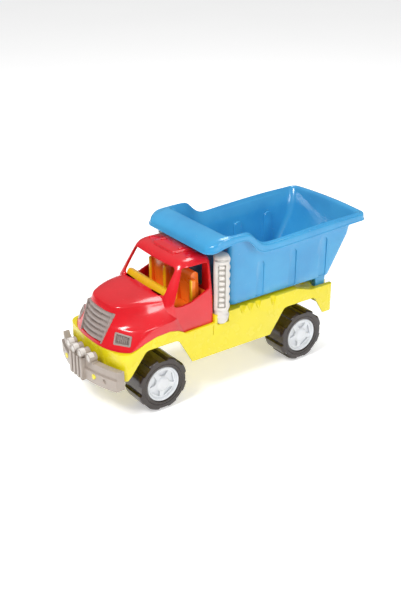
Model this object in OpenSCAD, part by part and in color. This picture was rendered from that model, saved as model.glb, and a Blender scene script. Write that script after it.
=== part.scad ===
// Toy tipper truck: blue tipping bed, red cab, yellow chassis shell,
// grey trim and four wide wheels on two steel axles.
// Units are millimetres. +Z is up, the truck drives towards -Y and its left
// side is +X. The origin is on the ground under the middle of the truck, and
// the drawing origin that the stations along Y count from is 2.25 mm behind it.

/* [Overall] */
// Distance of the bumper ribs from the drawing origin
bumper_reach = 210; // [209:0.5:211]
// Distance of the rear rim from the drawing origin
rim_reach = 214.5; // [213:0.5:215]
// Wall thickness of the moulded shells
wall = 2.2; // [1.8:0.1:2.4]
// Small gap between shells that lie on each other
seat_gap = 0.2; // [0.1:0.05:0.3]

/* [Running gear] */
// Distance between the two axles
wheelbase = 230; // [228:0.5:232]
// Distance of the front axle from the middle of the truck
front_axle_offset = 124.5; // [123.5:0.5:125.5]
// Tyre radius over the tread lugs
tyre_r = 36.5; // [36:0.1:37]
// Tyre width
tyre_w = 40; // [39:0.5:41]
// Distance of the outer tyre face from the middle plane
tyre_face_x = 71.4; // [71:0.2:72.4]
// Height of the tread lugs
lug_depth = 3; // [2:0.2:3.2]
// Number of tread lugs round a tyre
lug_count = 8; // [6:1:12]
// Radius of the white hub
hub_r = 25; // [24:0.5:25.5]
// Radius of the steel axle
axle_r = 2; // [1.8:0.1:2.2]
// Radial running clearance of a shaft in its bore
running_gap = 0.06; // [0.03:0.01:0.09]

/* [Chassis] */
// Distance of the chassis side wall from the middle plane
chassis_half_w = 66.8; // [66.4:0.2:67.4]
// Height of the deck under the bed
deck_z = 107.5; // [106.5:0.5:108]
// Height of the lower deck at the tipping hinge
rear_deck_z = 99.5; // [99:0.5:100]
// Height of the bottom edge of the side skirt
skirt_z = 52; // [50:1:56]
// Height of the top of the front wheel arch
front_arch_z = 89; // [87:0.5:89.5]
// Height of the top of the rear wheel arch
rear_arch_z = 86; // [84:0.5:87]

/* [Bed] */
// Distance of the bed side wall from the middle plane
bed_half_w = 62; // [61.5:0.5:62.5]
// Height of the underside of the bed
bed_floor_z = 110.5; // [110.5:0.5:111.5]
// Height of the top of the rim at its rear
rim_z = 197; // [196:0.5:198]
// Height of the crest of the cab protector
crest_z = 212; // [210:0.5:214]
// Distance of the rim's outer face from the middle plane
rim_half_w = 77; // [76.5:0.5:78]
// Tipping angle the bed is drawn at
tip_angle = 0; // [0:1:40]

/* [Cab] */
// Height of the roof
roof_z = 187; // [185:0.5:188]
// Height of the bonnet at the windscreen
bonnet_z = 147; // [146:0.5:148]

/* [Hidden] */
$fn = 48;

// Running gear
front_axle_y = -front_axle_offset;
rear_axle_y = front_axle_y + wheelbase;
axle_z = tyre_r;
tyre_inner_x = tyre_face_x - tyre_w;
sleeve_inset = 2;
bracket_x = tyre_inner_x - 6;
bracket_w = 5;
bracket_half_l = 8;
boss_r = 6.5;
hub_pocket_z = 28;
axle_end_x = tyre_face_x - 8;
cap_r = 4.5;
cap_h = 3;

// Chassis
front_wall_y = -188;
rear_wall_y = 165;
cab_rear_y = -41;
fender_low_z = 54.5;
rear_block_low_z = 58.5;
arch_corner_r = 9;
peg_x = 34;
peg_z = 57;
peg_r = 3.4;

// Seam between the cab and the chassis in side view, from front to rear
seam = [
    [-192, 90], [-166, 91], [-146, 99.5], [-130, 104], [-110, 105],
    [-97, 102], [-86, 95.5], [-41, 97]
];

// Tipping hinge
hinge_y = 146;
hinge_z = 91.5;
trunnion_r = 4;
leg_inner_x = 50;
leg_outer_x = 59.4;
leg_r = 8;

// Bed
bed_front_y = -13;
bed_rear_low_y = 162;
bed_rear_high_y = 202;
bed_tub_top_z = 178;
bed_corner_r = 9;
rib_ends_y = [42.5, 98, 152.5];
rib_w = 12.5;
rib_top_z = 166;
rib_depth = 1.2;

// Rim of the bed in side view, from the cab protector's lip to the rear
rim_line = [
    [-56, crest_z - 18], [-52, crest_z - 13], [-42, crest_z - 5.5], [-32, crest_z - 1.5],
    [-23, crest_z], [3, crest_z], [9, crest_z - 2], [14, crest_z - 7],
    [20, rim_z + 2], [25, rim_z - 2.2], [31, rim_z - 4.6], [38, rim_z - 5.4],
    [80, rim_z - 3.6], [120, rim_z - 1.4], [160, rim_z - 0.2], [rim_reach + 5, rim_z]
];

// Lower edge of the rim in side view, below the rim line
lip_line = [
    [-56, crest_z - 19.5], [-44, crest_z - 16], [-35, crest_z - 13], [-14, crest_z - 10],
    [2, crest_z - 10], [8, crest_z - 12], [13, crest_z - 17], [19, rim_z - 9],
    [24, rim_z - 13], [30, rim_z - 16], [38, rim_z - 17.4], [80, rim_z - 15.6],
    [120, rim_z - 13.4], [160, rim_z - 12], [rim_reach + 5, rim_z - 11]
];

// Cab
nose_z = bonnet_z - 5;
nose_low_y = -188;
nose_low_z = 92;
nose_high_y = -169;
nose_tilt = atan2(nose_high_y - nose_low_y, nose_z - nose_low_z);
lamp_centre = [49, -169, 105];
lamp_yaw = 32;

// Air cleaner stacks
stack_x = 61;
stack_y = -28;
stack_r = 10.5;
stack_low_z = 93;
stack_top_z = 189;
shield_low_z = 112;
shield_high_z = 182;
rung_count = 8;

// Bumper
bumper_low_z = 47;
bumper_high_z = 73;
bumper_front_y = 3 - bumper_reach;
bumper_bow_r = 170;
bumper_depth = 12;
fog_r = 5.8;
fog_z = 79.5;
fog_xs = [-25, -8.3, 8.3, 25];

// Screws that hold the cab from below
screw_spots = [[-38, -47.5], [38, -47.5], [-26, -148], [26, -148]];
screw_r = 1.4;
screw_head_r = 3.2;
screw_l = 14;
pad_drop = 6;

// ---------- shared shapes ----------

// Extrudes a side view, drawn as [y, z], to a width about the middle plane
module side_slab(width) {
    rotate([90, 0, 90])
        linear_extrude(width, center = true)
            children();
}

// Extrudes a side view, drawn as [y, z], between two stations along X
module side_plate(x0, x1) {
    translate([x0, 0, 0])
        rotate([90, 0, 90])
            linear_extrude(x1 - x0)
                children();
}

// Rounds the outer corners of a flat outline
module round_out(r) {
    offset(r = r, $fn = 32)
        offset(delta = -r)
            children();
}

// A cylinder along X between two stations
module x_rod(x0, x1, y, z, r) {
    translate([x0, y, z])
        rotate([0, 90, 0])
            cylinder(h = x1 - x0, r = r);
}

// A cylinder along Y between two stations
module y_rod(y0, y1, x, z, r) {
    translate([x, y0, z])
        rotate([-90, 0, 0])
            cylinder(h = y1 - y0, r = r);
}

// Draws the children and their mirror image across the middle plane
module both_sides() {
    children();
    mirror([1, 0, 0])
        children();
}

// Mirrors a list of plan points across the middle plane to a closed outline
function mirrored(points) = concat(
    points,
    [for (i = [len(points) - 1:-1:0]) [-points[i][0], points[i][1]]]
);

// ---------- chassis ----------

// Side view of the chassis, down to low_z
module chassis_side(low_z) {
    round_out(3)
        polygon(concat(
            [[front_wall_y, low_z], [front_wall_y, seam[0][1]]],
            [for (i = [1:len(seam) - 1]) seam[i]],
            [
                [cab_rear_y, deck_z], [98, deck_z], [124, rear_deck_z],
                [rear_wall_y, rear_deck_z], [rear_wall_y, low_z]
            ]
        ));
}

// Plan view of the chassis, with a bowed front
module chassis_plan() {
    bow_r = 260;
    round_out(16)
        intersection() {
            translate([-chassis_half_w, front_wall_y])
                square([2 * chassis_half_w, 150 - front_wall_y]);
            union() {
                translate([0, front_wall_y + bow_r])
                    circle(r = bow_r, $fn = 120);
                translate([-chassis_half_w, 0])
                    square([2 * chassis_half_w, 200]);
            }
        }
    round_out(7)
        translate([-chassis_half_w, 60])
            square([2 * chassis_half_w, rear_wall_y - 60]);
}

// Side view of one wheel arch opening
module arch(y, top_z, half_front, half_rear, flare_front, flare_rear) {
    low_z = 20;
    drop = top_z - low_z;
    round_out(arch_corner_r)
        polygon([
            [y - half_front - drop * flare_front, low_z], [y - half_front, top_z],
            [y + half_rear, top_z], [y + half_rear + drop * flare_rear, low_z]
        ]);
}

// The chassis skin, open underneath
module chassis_skin() {
    difference() {
        intersection() {
            side_slab(3 * chassis_half_w)
                chassis_side(skirt_z);
            linear_extrude(200)
                chassis_plan();
        }
        intersection() {
            side_slab(3 * chassis_half_w)
                offset(delta = -wall)
                    chassis_side(-20);
            linear_extrude(200)
                offset(delta = -wall)
                    chassis_plan();
        }
    }
}

// Hanging bracket with a bore for an axle, under the deck
module axle_bracket(y) {
    boss_end_x = tyre_inner_x + sleeve_inset - 0.4;
    both_sides()
        difference() {
            union() {
                intersection() {
                    translate([bracket_x - bracket_w, y - bracket_half_l, axle_z])
                        cube([bracket_w, 2 * bracket_half_l, 100]);
                    side_slab(3 * chassis_half_w)
                        chassis_side(-20);
                }
                x_rod(bracket_x - bracket_w, bracket_x, y, axle_z, bracket_half_l);
                x_rod(bracket_x - 1, boss_end_x, y, axle_z, boss_r);
            }
            x_rod(bracket_x - bracket_w - 1, boss_end_x + 1, y, axle_z, axle_r + running_gap);
        }
}

// Half-round grip notches along the upper edge of the side wall
module edge_notches() {
    small_ys = [4, 17, 30];
    both_sides() {
        for (y = small_ys)
            translate([chassis_half_w + 0.4, y, deck_z - 13])
                cylinder(h = 14, r1 = 0.5, r2 = 2.4);
        translate([chassis_half_w + 0.4, 56, deck_z - 18])
            cylinder(h = 19, r1 = 0.5, r2 = 2.4);
    }
}

// Boss with a blind bore for one of the bed's trunnions
module hinge_boss() {
    boss_x0 = leg_outer_x + 0.5;
    difference() {
        x_rod(boss_x0, chassis_half_w - wall / 2, hinge_y, hinge_z, trunnion_r + 3);
        x_rod(boss_x0 - 1, chassis_half_w - wall, hinge_y, hinge_z, trunnion_r + running_gap);
    }
}

// Pad under the deck with a hole for one cab screw
module screw_pad(spot) {
    top_z = lookup(spot[1], seam);
    difference() {
        translate([spot[0], spot[1], top_z - pad_drop])
            cylinder(h = pad_drop - 1, r = screw_head_r + 1.5);
        translate([spot[0], spot[1], top_z - pad_drop - 1])
            cylinder(h = pad_drop + 2, r = screw_r + 0.3);
    }
}

module chassis() {
    cup_r = stack_r + wall;
    cut_w = 3 * chassis_half_w;
    color("gold") {
        difference() {
            chassis_skin();
            side_slab(cut_w)
                arch(front_axle_y, front_arch_z, 21, 27, 0.8, 0.56);
            side_slab(cut_w)
                arch(rear_axle_y, rear_arch_z, 29, 25, 0.72, 0.6);
            // lower edges of the front fender and of the rear block
            translate([-cut_w / 2, -300, 0])
                cube([cut_w, 300 + front_axle_y, fender_low_z]);
            translate([-cut_w / 2, rear_axle_y, 0])
                cube([cut_w, 100, rear_block_low_z]);
            // holes for the feet of the stacks
            both_sides()
                translate([stack_x, stack_y, stack_low_z - 0.3])
                    cylinder(h = 40, r = stack_r + seat_gap);
            edge_notches();
            // window in the deck ahead of the hinge
            translate([-46, 114.5, 80])
                cube([92, 17, 40]);
            // slots for the legs of the bed, open to the rear
            both_sides()
                translate([leg_inner_x - 1, hinge_y - leg_r - 4, 82])
                    cube([leg_outer_x - leg_inner_x + 1.5, 60, 40]);
            // short grooves under the stacks
            both_sides()
                translate([chassis_half_w - 0.8, -44, 81])
                    cube([2, 1.4, 12]);
            for (s = screw_spots)
                translate([s[0], s[1], 80])
                    cylinder(h = 40, r = screw_r + 0.3);
        }
        axle_bracket(front_axle_y);
        axle_bracket(rear_axle_y);
        both_sides()
            hinge_boss();
        for (s = screw_spots)
            screw_pad(s);
        // pegs that carry the bumper
        both_sides()
            y_rod(bumper_front_y + 2.4, front_wall_y + 5, peg_x, peg_z, peg_r);
        // cups under the feet of the stacks
        intersection() {
            both_sides()
                difference() {
                    translate([stack_x, stack_y, stack_low_z - wall])
                        cylinder(h = deck_z - stack_low_z + wall - 0.1, r = cup_r);
                    translate([stack_x, stack_y, stack_low_z - 0.3])
                        cylinder(h = 40, r = stack_r + seat_gap);
                }
            linear_extrude(deck_z)
                chassis_plan();
        }
        // cross bars at the deck window and rests for the bed
        for (y = [112, 132])
            translate([1 - chassis_half_w, y, 90])
                cube([2 * chassis_half_w - 2, wall, 8.5]);
        for (x = [-40, 32])
            translate([x, 6, deck_z - 0.5])
                cube([8, 14, 3.2]);
    }
}

// ---------- cab ----------

// Plan outlines of the bonnet at three heights, right half from the nose to the rear
bonnet_low = [[0, -188], [24, -187], [46, -181], [60, -173], [chassis_half_w, -160], [chassis_half_w, -86]];
bonnet_mid = [[0, -184], [22, -182.5], [38, -176], [60, -161], [chassis_half_w, -146], [chassis_half_w, -88]];
bonnet_nose = [[0, -169.5], [25, -168], [31, -163], [45, -110], [45, -100]];
bonnet_rear = [[0, -118], [40, -116], [46, -100]];

// A thin plan slab at a height, with its outline moved in by inset
module plan_slab(points, z, inset, thick = 0.5) {
    translate([0, 0, z])
        linear_extrude(thick)
            offset(delta = -inset)
                round_out(4)
                    polygon(mirrored(points));
}

// The bonnet and fenders; drop lowers the top for an inner skin
module bonnet_solid(inset) {
    hull() {
        plan_slab(bonnet_low, 60, inset);
        plan_slab(bonnet_low, nose_low_z, inset);
        plan_slab(bonnet_mid, 104, inset);
        plan_slab(bonnet_nose, nose_z - 1 - inset, inset);
        plan_slab(bonnet_rear, bonnet_z - 0.5 - inset, inset);
    }
}

// Plan outline of the cabin from its front to the rear wall
function cabin_plan(half_w, front_y) = [
    [0, front_y - 2], [half_w * 0.8, front_y], [half_w, front_y + 4], [half_w, cab_rear_y - 0.4]
];

// The cabin above and behind the bonnet
module cabin_solid(inset) {
    hull() {
        plan_slab(cabin_plan(63.5, -114), 60, inset);
        plan_slab(cabin_plan(61.5, -113), 133, inset);
        plan_slab(cabin_plan(55, -87), 178, inset);
        plan_slab(cabin_plan(49, -82), roof_z - 0.5 - inset, inset);
    }
}

// Everything under the seam between the cab and the chassis
module below_seam() {
    side_slab(3 * chassis_half_w)
        translate([0, seat_gap])
            polygon(concat([[-230, 0], [-230, 90]], seam, [[cab_rear_y + 10, 97], [cab_rear_y + 10, 0]]));
}

// Places a flat shape on the sloping nose, with its +Y up the slope
module on_nose() {
    translate([0, nose_low_y, nose_low_z])
        rotate([90 - nose_tilt, 0, 0])
            children();
}

// Outline of the grille on the nose
module grille_outline(grow) {
    offset(delta = grow)
        round_out(1.5)
            polygon(mirrored([[0, 2.5], [24, 4], [29, 40.5], [0, 42]]));
}

// Places a lamp shape on the left front corner, facing outwards
module at_lamp() {
    translate(lamp_centre)
        rotate([0, 0, lamp_yaw])
            rotate([90 - 16, 0, 0])
                children();
}

// Outline of a headlight
module lamp_outline(grow) {
    offset(delta = grow)
        round_out(1)
            polygon([[-10.5, -7.5], [6, -8.5], [10.5, -5], [11.5, 6], [-9, 7.5]]);
}

// Screw posts inside the cab, short ones at the rear wall and tall ones under the bonnet
module cab_posts() {
    for (s = screw_spots) {
        at_rear = s[1] > -100;
        post_h = at_rear ? 35 : nose_z - 91;
        translate([s[0], s[1], 90])
            cylinder(h = post_h, r = 4.4);
        if (at_rear)
            translate([s[0] - 2, s[1], 90])
                cube([4, cab_rear_y - s[1] - 1.4, post_h]);
    }
}

module cab() {
    color("crimson")
    difference() {
        union() {
            difference() {
                union() {
                    bonnet_solid(0);
                    cabin_solid(0);
                }
                bonnet_solid(wall);
                cabin_solid(wall);
            }
            cab_posts();
            // raised panel along the roof
            translate([-24, -80, roof_z - 1.5])
                cube([48, 36, 3]);
        }
        below_seam();
        // windscreen
        translate([0, -70, 0])
            rotate([90, 0, 0])
                linear_extrude(60)
                    round_out(4)
                        polygon([[-48, 148], [48, 148], [45, 178], [-45, 178]]);
        // rear window
        translate([0, cab_rear_y + 5, 0])
            rotate([90, 0, 0])
                linear_extrude(10)
                    round_out(4)
                        polygon([[-43, 138], [43, 138], [39, 177], [-39, 177]]);
        // side windows
        side_slab(3 * chassis_half_w)
            round_out(3)
                polygon([[-99, 134], [-80, 131], [-46.5, 141], [-46.5, 178], [-72, 178]]);
        on_nose()
            translate([0, 0, -12])
                linear_extrude(18)
                    grille_outline(0.1);
        both_sides()
            at_lamp()
                translate([0, 0, -7])
                    linear_extrude(14)
                        lamp_outline(0.1);
        // pilot holes for the screws
        for (s = screw_spots)
            translate([s[0], s[1], 80])
                cylinder(h = lookup(s[1], seam) - pad_drop + screw_l - 80, r = screw_r);
    }
}

module cab_screws() {
    color("silver")
        for (s = screw_spots)
            translate([s[0], s[1], lookup(s[1], seam) - pad_drop]) {
                cylinder(h = screw_l, r = screw_r);
                difference() {
                    translate([0, 0, -2.2])
                        cylinder(h = 2.2, r = screw_head_r);
                    translate([0, 0, -2.3])
                        cylinder(h = 1.4, r = 1.3, $fn = 6);
                }
            }
}

// A hollow moulding with closed ends and an open underside, from its side view
module hollow_slab(width, points, open_z) {
    difference() {
        side_slab(width)
            polygon(points);
        side_slab(width - 2 * wall)
            offset(delta = -wall)
                polygon([for (p = points) [p[0], p[1] <= open_z ? open_z - 20 : p[1]]]);
    }
}

// Dashboard, floor and two seats in one moulding
module cabin_insert() {
    floor_z = 106.5;
    seat_x = 27;
    color("orange")
    difference() {
        union() {
            hollow_slab(92, [
                [-104, floor_z], [-104, 140], [-101.5, 146], [-99, 149.5], [-94, 148.5],
                [-92.5, 144.5], [-96.5, 136], [-97, floor_z]
            ], floor_z);
            side_slab(100)
                polygon([
                    [-104, floor_z], [-104, floor_z + wall], [-48, floor_z + wall],
                    [-48, 138], [-45, 138], [-45, floor_z]
                ]);
            for (x = [-seat_x, seat_x])
                translate([x, 0, 0]) {
                    hollow_slab(38, [
                        [-82, floor_z + 1], [-83, 121], [-60, 118], [-57, floor_z + 1]
                    ], floor_z + 1);
                    hollow_slab(34, [
                        [-58, floor_z + 1], [-63, 160], [-61, 164], [-56, 165], [-52, 162],
                        [-49.5, floor_z + 1]
                    ], floor_z + 1);
                }
        }
        for (s = screw_spots)
            translate([s[0], s[1], 80])
                cylinder(h = 48, r = 5);
    }
}

// A bowed sheet on the nose between two depths, from low to low + height up the slope
module nose_shell(low, height, outer, inner) {
    bow_r = 100;
    translate([0, low, -bow_r])
        rotate([-90, 0, 0])
            difference() {
                cylinder(h = height, r = bow_r + outer, $fn = 120);
                translate([0, 0, -1])
                    cylinder(h = height + 2, r = bow_r + inner, $fn = 120);
            }
}

module grille() {
    slat_count = 6;
    pitch = 5.9;
    color("dimgray")
        on_nose()
            difference() {
                intersection() {
                    translate([0, 0, -15])
                        linear_extrude(20)
                            grille_outline(0);
                    nose_shell(0, 50, 1.4, -3);
                }
                for (i = [0:slat_count - 2])
                    nose_shell(8.4 + i * pitch, 1.8, 3, -0.8);
            }
}

// A ribbed headlight in a flat bezel
module headlight() {
    color("dimgray")
        at_lamp()
            difference() {
                translate([0, 0, -4])
                    linear_extrude(6.5)
                        lamp_outline(0);
                for (i = [-3:3])
                    translate([i * 2.1 - 0.5, -4.5, 1])
                        cube([1.2, 9, 4]);
            }
}

// ---------- bumper ----------

// Plan of the bumper between two distances behind its bowed face
module bumper_plan(from_face, to_face) {
    half_w = 69;
    intersection() {
        difference() {
            translate([0, bumper_front_y + from_face + bumper_bow_r])
                circle(r = bumper_bow_r, $fn = 120);
            translate([0, bumper_front_y + to_face + bumper_bow_r])
                circle(r = bumper_bow_r, $fn = 120);
        }
        translate([-half_w, -230])
            square([2 * half_w, 60]);
    }
}

module bumper() {
    rib_half_l = 4;
    color("darkgray")
    difference() {
        union() {
            translate([0, 0, bumper_low_z])
                linear_extrude(15)
                    bumper_plan(0, bumper_depth);
            translate([0, 0, bumper_low_z + 15])
                linear_extrude(bumper_high_z - bumper_low_z - 15)
                    bumper_plan(3, bumper_depth);
            // bull bar ribs
            for (x = [-13, -4.4, 4.4, 13])
                translate([x - 2.6, -bumper_reach, bumper_low_z - 2])
                    cube([5.2, 2 * rib_half_l, bumper_high_z - bumper_low_z + 4]);
            // rail under the fog lights
            translate([-31, bumper_front_y + 4, bumper_high_z - 1])
                cube([62, 8, 3.5]);
            for (x = fog_xs)
                y_rod(bumper_front_y - 2 + x * x / 200, bumper_front_y + bumper_depth, x, fog_z, fog_r);
        }
        // lens recesses
        for (x = fog_xs)
            y_rod(-bumper_reach - 5, bumper_front_y - 0.6 + x * x / 200, x, fog_z, fog_r - 1.2);
        both_sides() {
            y_rod(-230, -170, peg_x, peg_z, peg_r);
            // towing hook pocket
            y_rod(-230, bumper_front_y + 9.5, 52, peg_z, 3);
        }
    }
}

// ---------- air cleaner stacks ----------

// One stack with its slotted shield, on the left side
module stack() {
    shield_half_l = 9.5;
    pitch = (shield_high_z - shield_low_z - 6) / rung_count;
    color("whitesmoke") {
        translate([stack_x, stack_y, 0])
            rotate_extrude()
                polygon([
                    [0, stack_low_z], [4, stack_low_z + 0.5], [7.5, stack_low_z + 3],
                    [9, stack_low_z + 7], [10.3, stack_low_z + 7.5], [10.3, stack_low_z + 10],
                    [9, stack_low_z + 10.5], [9, shield_low_z + 2], [7.5, shield_low_z + 2],
                    [7.5, shield_high_z - 4], [9.2, shield_high_z - 4], [9.2, stack_top_z - 4],
                    [7, stack_top_z - 1], [0, stack_top_z]
                ]);
        difference() {
            translate([stack_x + 2, stack_y - shield_half_l, shield_low_z])
                cube([9.2, 2 * shield_half_l, shield_high_z - shield_low_z]);
            for (i = [0:rung_count - 1])
                translate([stack_x + 8, stack_y - 5.5, shield_low_z + 4.5 + i * pitch])
                    cube([5, 10, pitch - 3]);
        }
        // scalloped flange on the rear edge
        for (i = [0:5])
            x_rod(stack_x + 3, stack_x + 6, stack_y + 8.3, shield_low_z + 8 + i * 11, 4.8);
    }
}

// ---------- bed ----------

// Plan of the bed at a height, with its rear edge at rear_y
module bed_plan(rear_y, inset) {
    offset(delta = -inset)
        round_out(bed_corner_r)
            translate([-bed_half_w, bed_front_y])
                square([2 * bed_half_w, rear_y - bed_front_y]);
}

// The tub without its rim
module bed_tub() {
    rise = bed_tub_top_z - bed_floor_z;
    slope = (bed_rear_high_y - bed_rear_low_y) / rise;
    difference() {
        hull() {
            translate([0, 0, bed_floor_z])
                linear_extrude(0.5)
                    bed_plan(bed_rear_low_y, 1);
            translate([0, 0, bed_tub_top_z - 0.5])
                linear_extrude(0.5)
                    bed_plan(bed_rear_high_y, 0);
        }
        hull() {
            translate([0, 0, bed_floor_z + wall])
                linear_extrude(0.5)
                    bed_plan(bed_rear_low_y + wall * slope, wall + 1);
            translate([0, 0, bed_tub_top_z + 1])
                linear_extrude(0.5)
                    bed_plan(bed_rear_high_y + slope, wall);
        }
    }
}

// Region of the side view below the rim line by drop, down to low_z
module under_rim(drop, low_z) {
    polygon(concat(
        [[rim_line[0][0], low_z]],
        [for (p = rim_line) [p[0], p[1] - drop]],
        [[rim_reach + 5, low_z]]
    ));
}

// Band of the side view between the rim line and a lower line
module rim_band(lower) {
    polygon(concat(rim_line, [for (i = [len(lower) - 1:-1:0]) lower[i]]));
}

// Plan of the rim's outer edge
module rim_plan(inset) {
    front_y = rim_line[0][0];
    offset(delta = -inset)
        round_out(11)
            polygon(mirrored([
                [0, front_y], [rim_half_w - 3.5, front_y], [rim_half_w, 90],
                [rim_half_w, 150], [rim_half_w - 2, rim_reach - 4.5],
                [rim_half_w - 38, rim_reach - 0.8], [0, rim_reach]
            ]));
}

// The rolled rim with the cab protector
module bed_rim() {
    // top strip, solid over the cab
    difference() {
        intersection() {
            side_slab(3 * rim_half_w)
                rim_band([for (p = rim_line) [p[0], p[1] - wall]]);
            linear_extrude(300)
                rim_plan(0);
        }
        linear_extrude(300)
            bed_plan(bed_rear_high_y, wall);
    }
    // hanging skirt
    difference() {
        intersection() {
            side_slab(3 * rim_half_w)
                rim_band(lip_line);
            linear_extrude(300)
                rim_plan(0);
        }
        linear_extrude(300)
            rim_plan(wall);
    }
    // walls between the tub and the rim
    intersection() {
        side_slab(3 * rim_half_w)
            under_rim(0.5, bed_tub_top_z - 1);
        translate([0, 0, bed_tub_top_z - 1])
            linear_extrude(60)
                difference() {
                    bed_plan(bed_rear_high_y, 0);
                    bed_plan(bed_rear_high_y, wall);
                }
    }
}

// One pressed rib of the side wall, rounded at the top, as a side view
module rib_outline(end_y, low_z) {
    translate([end_y - rib_w / 2, rib_top_z - rib_w / 2])
        circle(r = rib_w / 2);
    translate([end_y - rib_w, low_z])
        square([rib_w, rib_top_z - rib_w / 2 - low_z]);
}

// Leg of the bed with its trunnion
module bed_leg() {
    side_plate(leg_inner_x, leg_outer_x) {
        translate([hinge_y, hinge_z])
            circle(r = leg_r);
        polygon([
            [hinge_y - leg_r, hinge_z], [hinge_y - leg_r - 1, bed_floor_z + 1],
            [hinge_y + leg_r + 1, bed_floor_z + 1], [hinge_y + leg_r, hinge_z]
        ]);
    }
    x_rod(leg_outer_x - 1, chassis_half_w - wall - 0.4, hinge_y, hinge_z, trunnion_r);
}

module bed() {
    color("dodgerblue")
    translate([0, hinge_y, hinge_z])
        rotate([-tip_angle, 0, 0])
            translate([0, -hinge_y, -hinge_z]) {
                difference() {
                    union() {
                        bed_tub();
                        both_sides()
                            intersection() {
                                side_plate(bed_half_w - 4, bed_half_w - 1.2)
                                    for (y = rib_ends_y)
                                        rib_outline(y, bed_floor_z + 1);
                                side_slab(3 * rim_half_w)
                                    polygon([
                                        [0, bed_floor_z], [bed_rear_low_y, bed_floor_z],
                                        [bed_rear_high_y, bed_tub_top_z], [0, bed_tub_top_z]
                                    ]);
                            }
                    }
                    both_sides()
                        side_plate(bed_half_w - rib_depth, bed_half_w + 1)
                            for (y = rib_ends_y)
                                offset(delta = -1.4)
                                    rib_outline(y, bed_floor_z + 3);
                }
                bed_rim();
                both_sides()
                    bed_leg();
            }
}

// ---------- wheels ----------

// Places a wheel piece, drawn with its outer face up, on the left side
module on_axle(y) {
    translate([tyre_inner_x, y, axle_z])
        rotate([0, 90, 0])
            children();
}

// Outline of the tread: lugs as wide as the gaps between them
module tread_outline() {
    half_lug = 90 / lug_count;
    far = 2 * tyre_r;
    circle(r = tyre_r - lug_depth, $fn = 96);
    intersection() {
        circle(r = tyre_r, $fn = 96);
        for (i = [0:lug_count - 1])
            rotate(i * 360 / lug_count)
                polygon([
                    [0, 0], [far * cos(half_lug), far * sin(half_lug)],
                    [far * cos(half_lug), -far * sin(half_lug)]
                ]);
    }
}

// Tyre moulding with its web and axle sleeve
module tyre() {
    ring_r = 31;
    color("dimgray")
    intersection() {
        rotate_extrude()
            polygon([
                [axle_r, sleeve_inset], [6, sleeve_inset], [6, hub_pocket_z - 3],
                [hub_r + 2.5, hub_pocket_z - 3], [hub_r + 2.5, tyre_w - 4],
                [ring_r, tyre_w - 4], [ring_r, 0], [tyre_r - 2.5, 0], [tyre_r, 3.5],
                [tyre_r, tyre_w - 4], [tyre_r - 2.8, tyre_w], [hub_r, tyre_w],
                [hub_r, hub_pocket_z], [axle_r, hub_pocket_z]
            ]);
        translate([0, 0, -1])
            linear_extrude(tyre_w + 2)
                tread_outline();
    }
}

// White hub with a raised ring and a central dome
module hub() {
    pocket_count = 5;
    color("white")
    difference() {
        rotate_extrude()
            polygon([
                [hub_r - 2.4, hub_pocket_z], [hub_r, hub_pocket_z], [hub_r, tyre_w - 1.6],
                [hub_r - 1.5, tyre_w - 0.6], [hub_r - 3, tyre_w - 1],
                [hub_r - 4, tyre_w - 2.5], [9, tyre_w - 2.5], [8, tyre_w - 0.8],
                [5, tyre_w], [0, tyre_w], [0, tyre_w - 4.5], [hub_r - 2.4, tyre_w - 4.5]
            ]);
        for (i = [0:pocket_count - 1])
            rotate([0, 0, i * 360 / pocket_count])
                translate([14.5, 0, tyre_w - 3.5])
                    cylinder(h = 5, r = 4);
    }
}

// Steel axle through both brackets
module axle(y) {
    color("silver")
        x_rod(-axle_end_x, axle_end_x, y, axle_z, axle_r);
}

// Pair of push nuts at the ends of an axle
module axle_caps(y) {
    cap_x = tyre_inner_x + hub_pocket_z;
    color("silver")
        both_sides()
            difference() {
                x_rod(cap_x, cap_x + cap_h, y, axle_z, cap_r);
                x_rod(cap_x - 1, cap_x + cap_h + 1, y, axle_z, axle_r);
            }
}

// Moves the drawing so that its origin is under the middle of the truck
module placed() {
    translate([0, (bumper_reach - rim_reach) / 2, 0])
        children();
}

placed() chassis();
placed() cab();
placed() cabin_insert();
placed() grille();
placed() headlight();  // headlight_left
placed() mirror([1, 0, 0]) headlight();  // headlight_right
placed() bumper();
placed() stack();  // stack_left
placed() mirror([1, 0, 0]) stack();  // stack_right
placed() bed();
placed() axle(front_axle_y);  // front_axle
placed() axle(rear_axle_y);  // rear_axle
placed() on_axle(front_axle_y) tyre();  // tyre_front_left
placed() mirror([1, 0, 0]) on_axle(front_axle_y) tyre();  // tyre_front_right
placed() on_axle(rear_axle_y) tyre();  // tyre_rear_left
placed() mirror([1, 0, 0]) on_axle(rear_axle_y) tyre();  // tyre_rear_right
placed() on_axle(front_axle_y) hub();  // hub_front_left
placed() mirror([1, 0, 0]) on_axle(front_axle_y) hub();  // hub_front_right
placed() on_axle(rear_axle_y) hub();  // hub_rear_left
placed() mirror([1, 0, 0]) on_axle(rear_axle_y) hub();  // hub_rear_right
placed() axle_caps(front_axle_y);  // front_axle_caps
placed() axle_caps(rear_axle_y);  // rear_axle_caps
placed() cab_screws();
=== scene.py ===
"""Looks of a toy tipper truck: shells, trim, wheels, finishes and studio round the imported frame.

Sizes in the classes are millimetres, in the part's drawing, whose origin stands 2.25 mm behind
the frame's. Every mesh is made in metres in the frame's own axes: +Z up, the truck drives
towards -Y, and its left side is +X.
"""

import logging
import math
import time
from dataclasses import dataclass
from enum import Enum
from typing import Callable, Optional, Sequence

import bpy
from mathutils import Matrix, Vector


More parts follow.
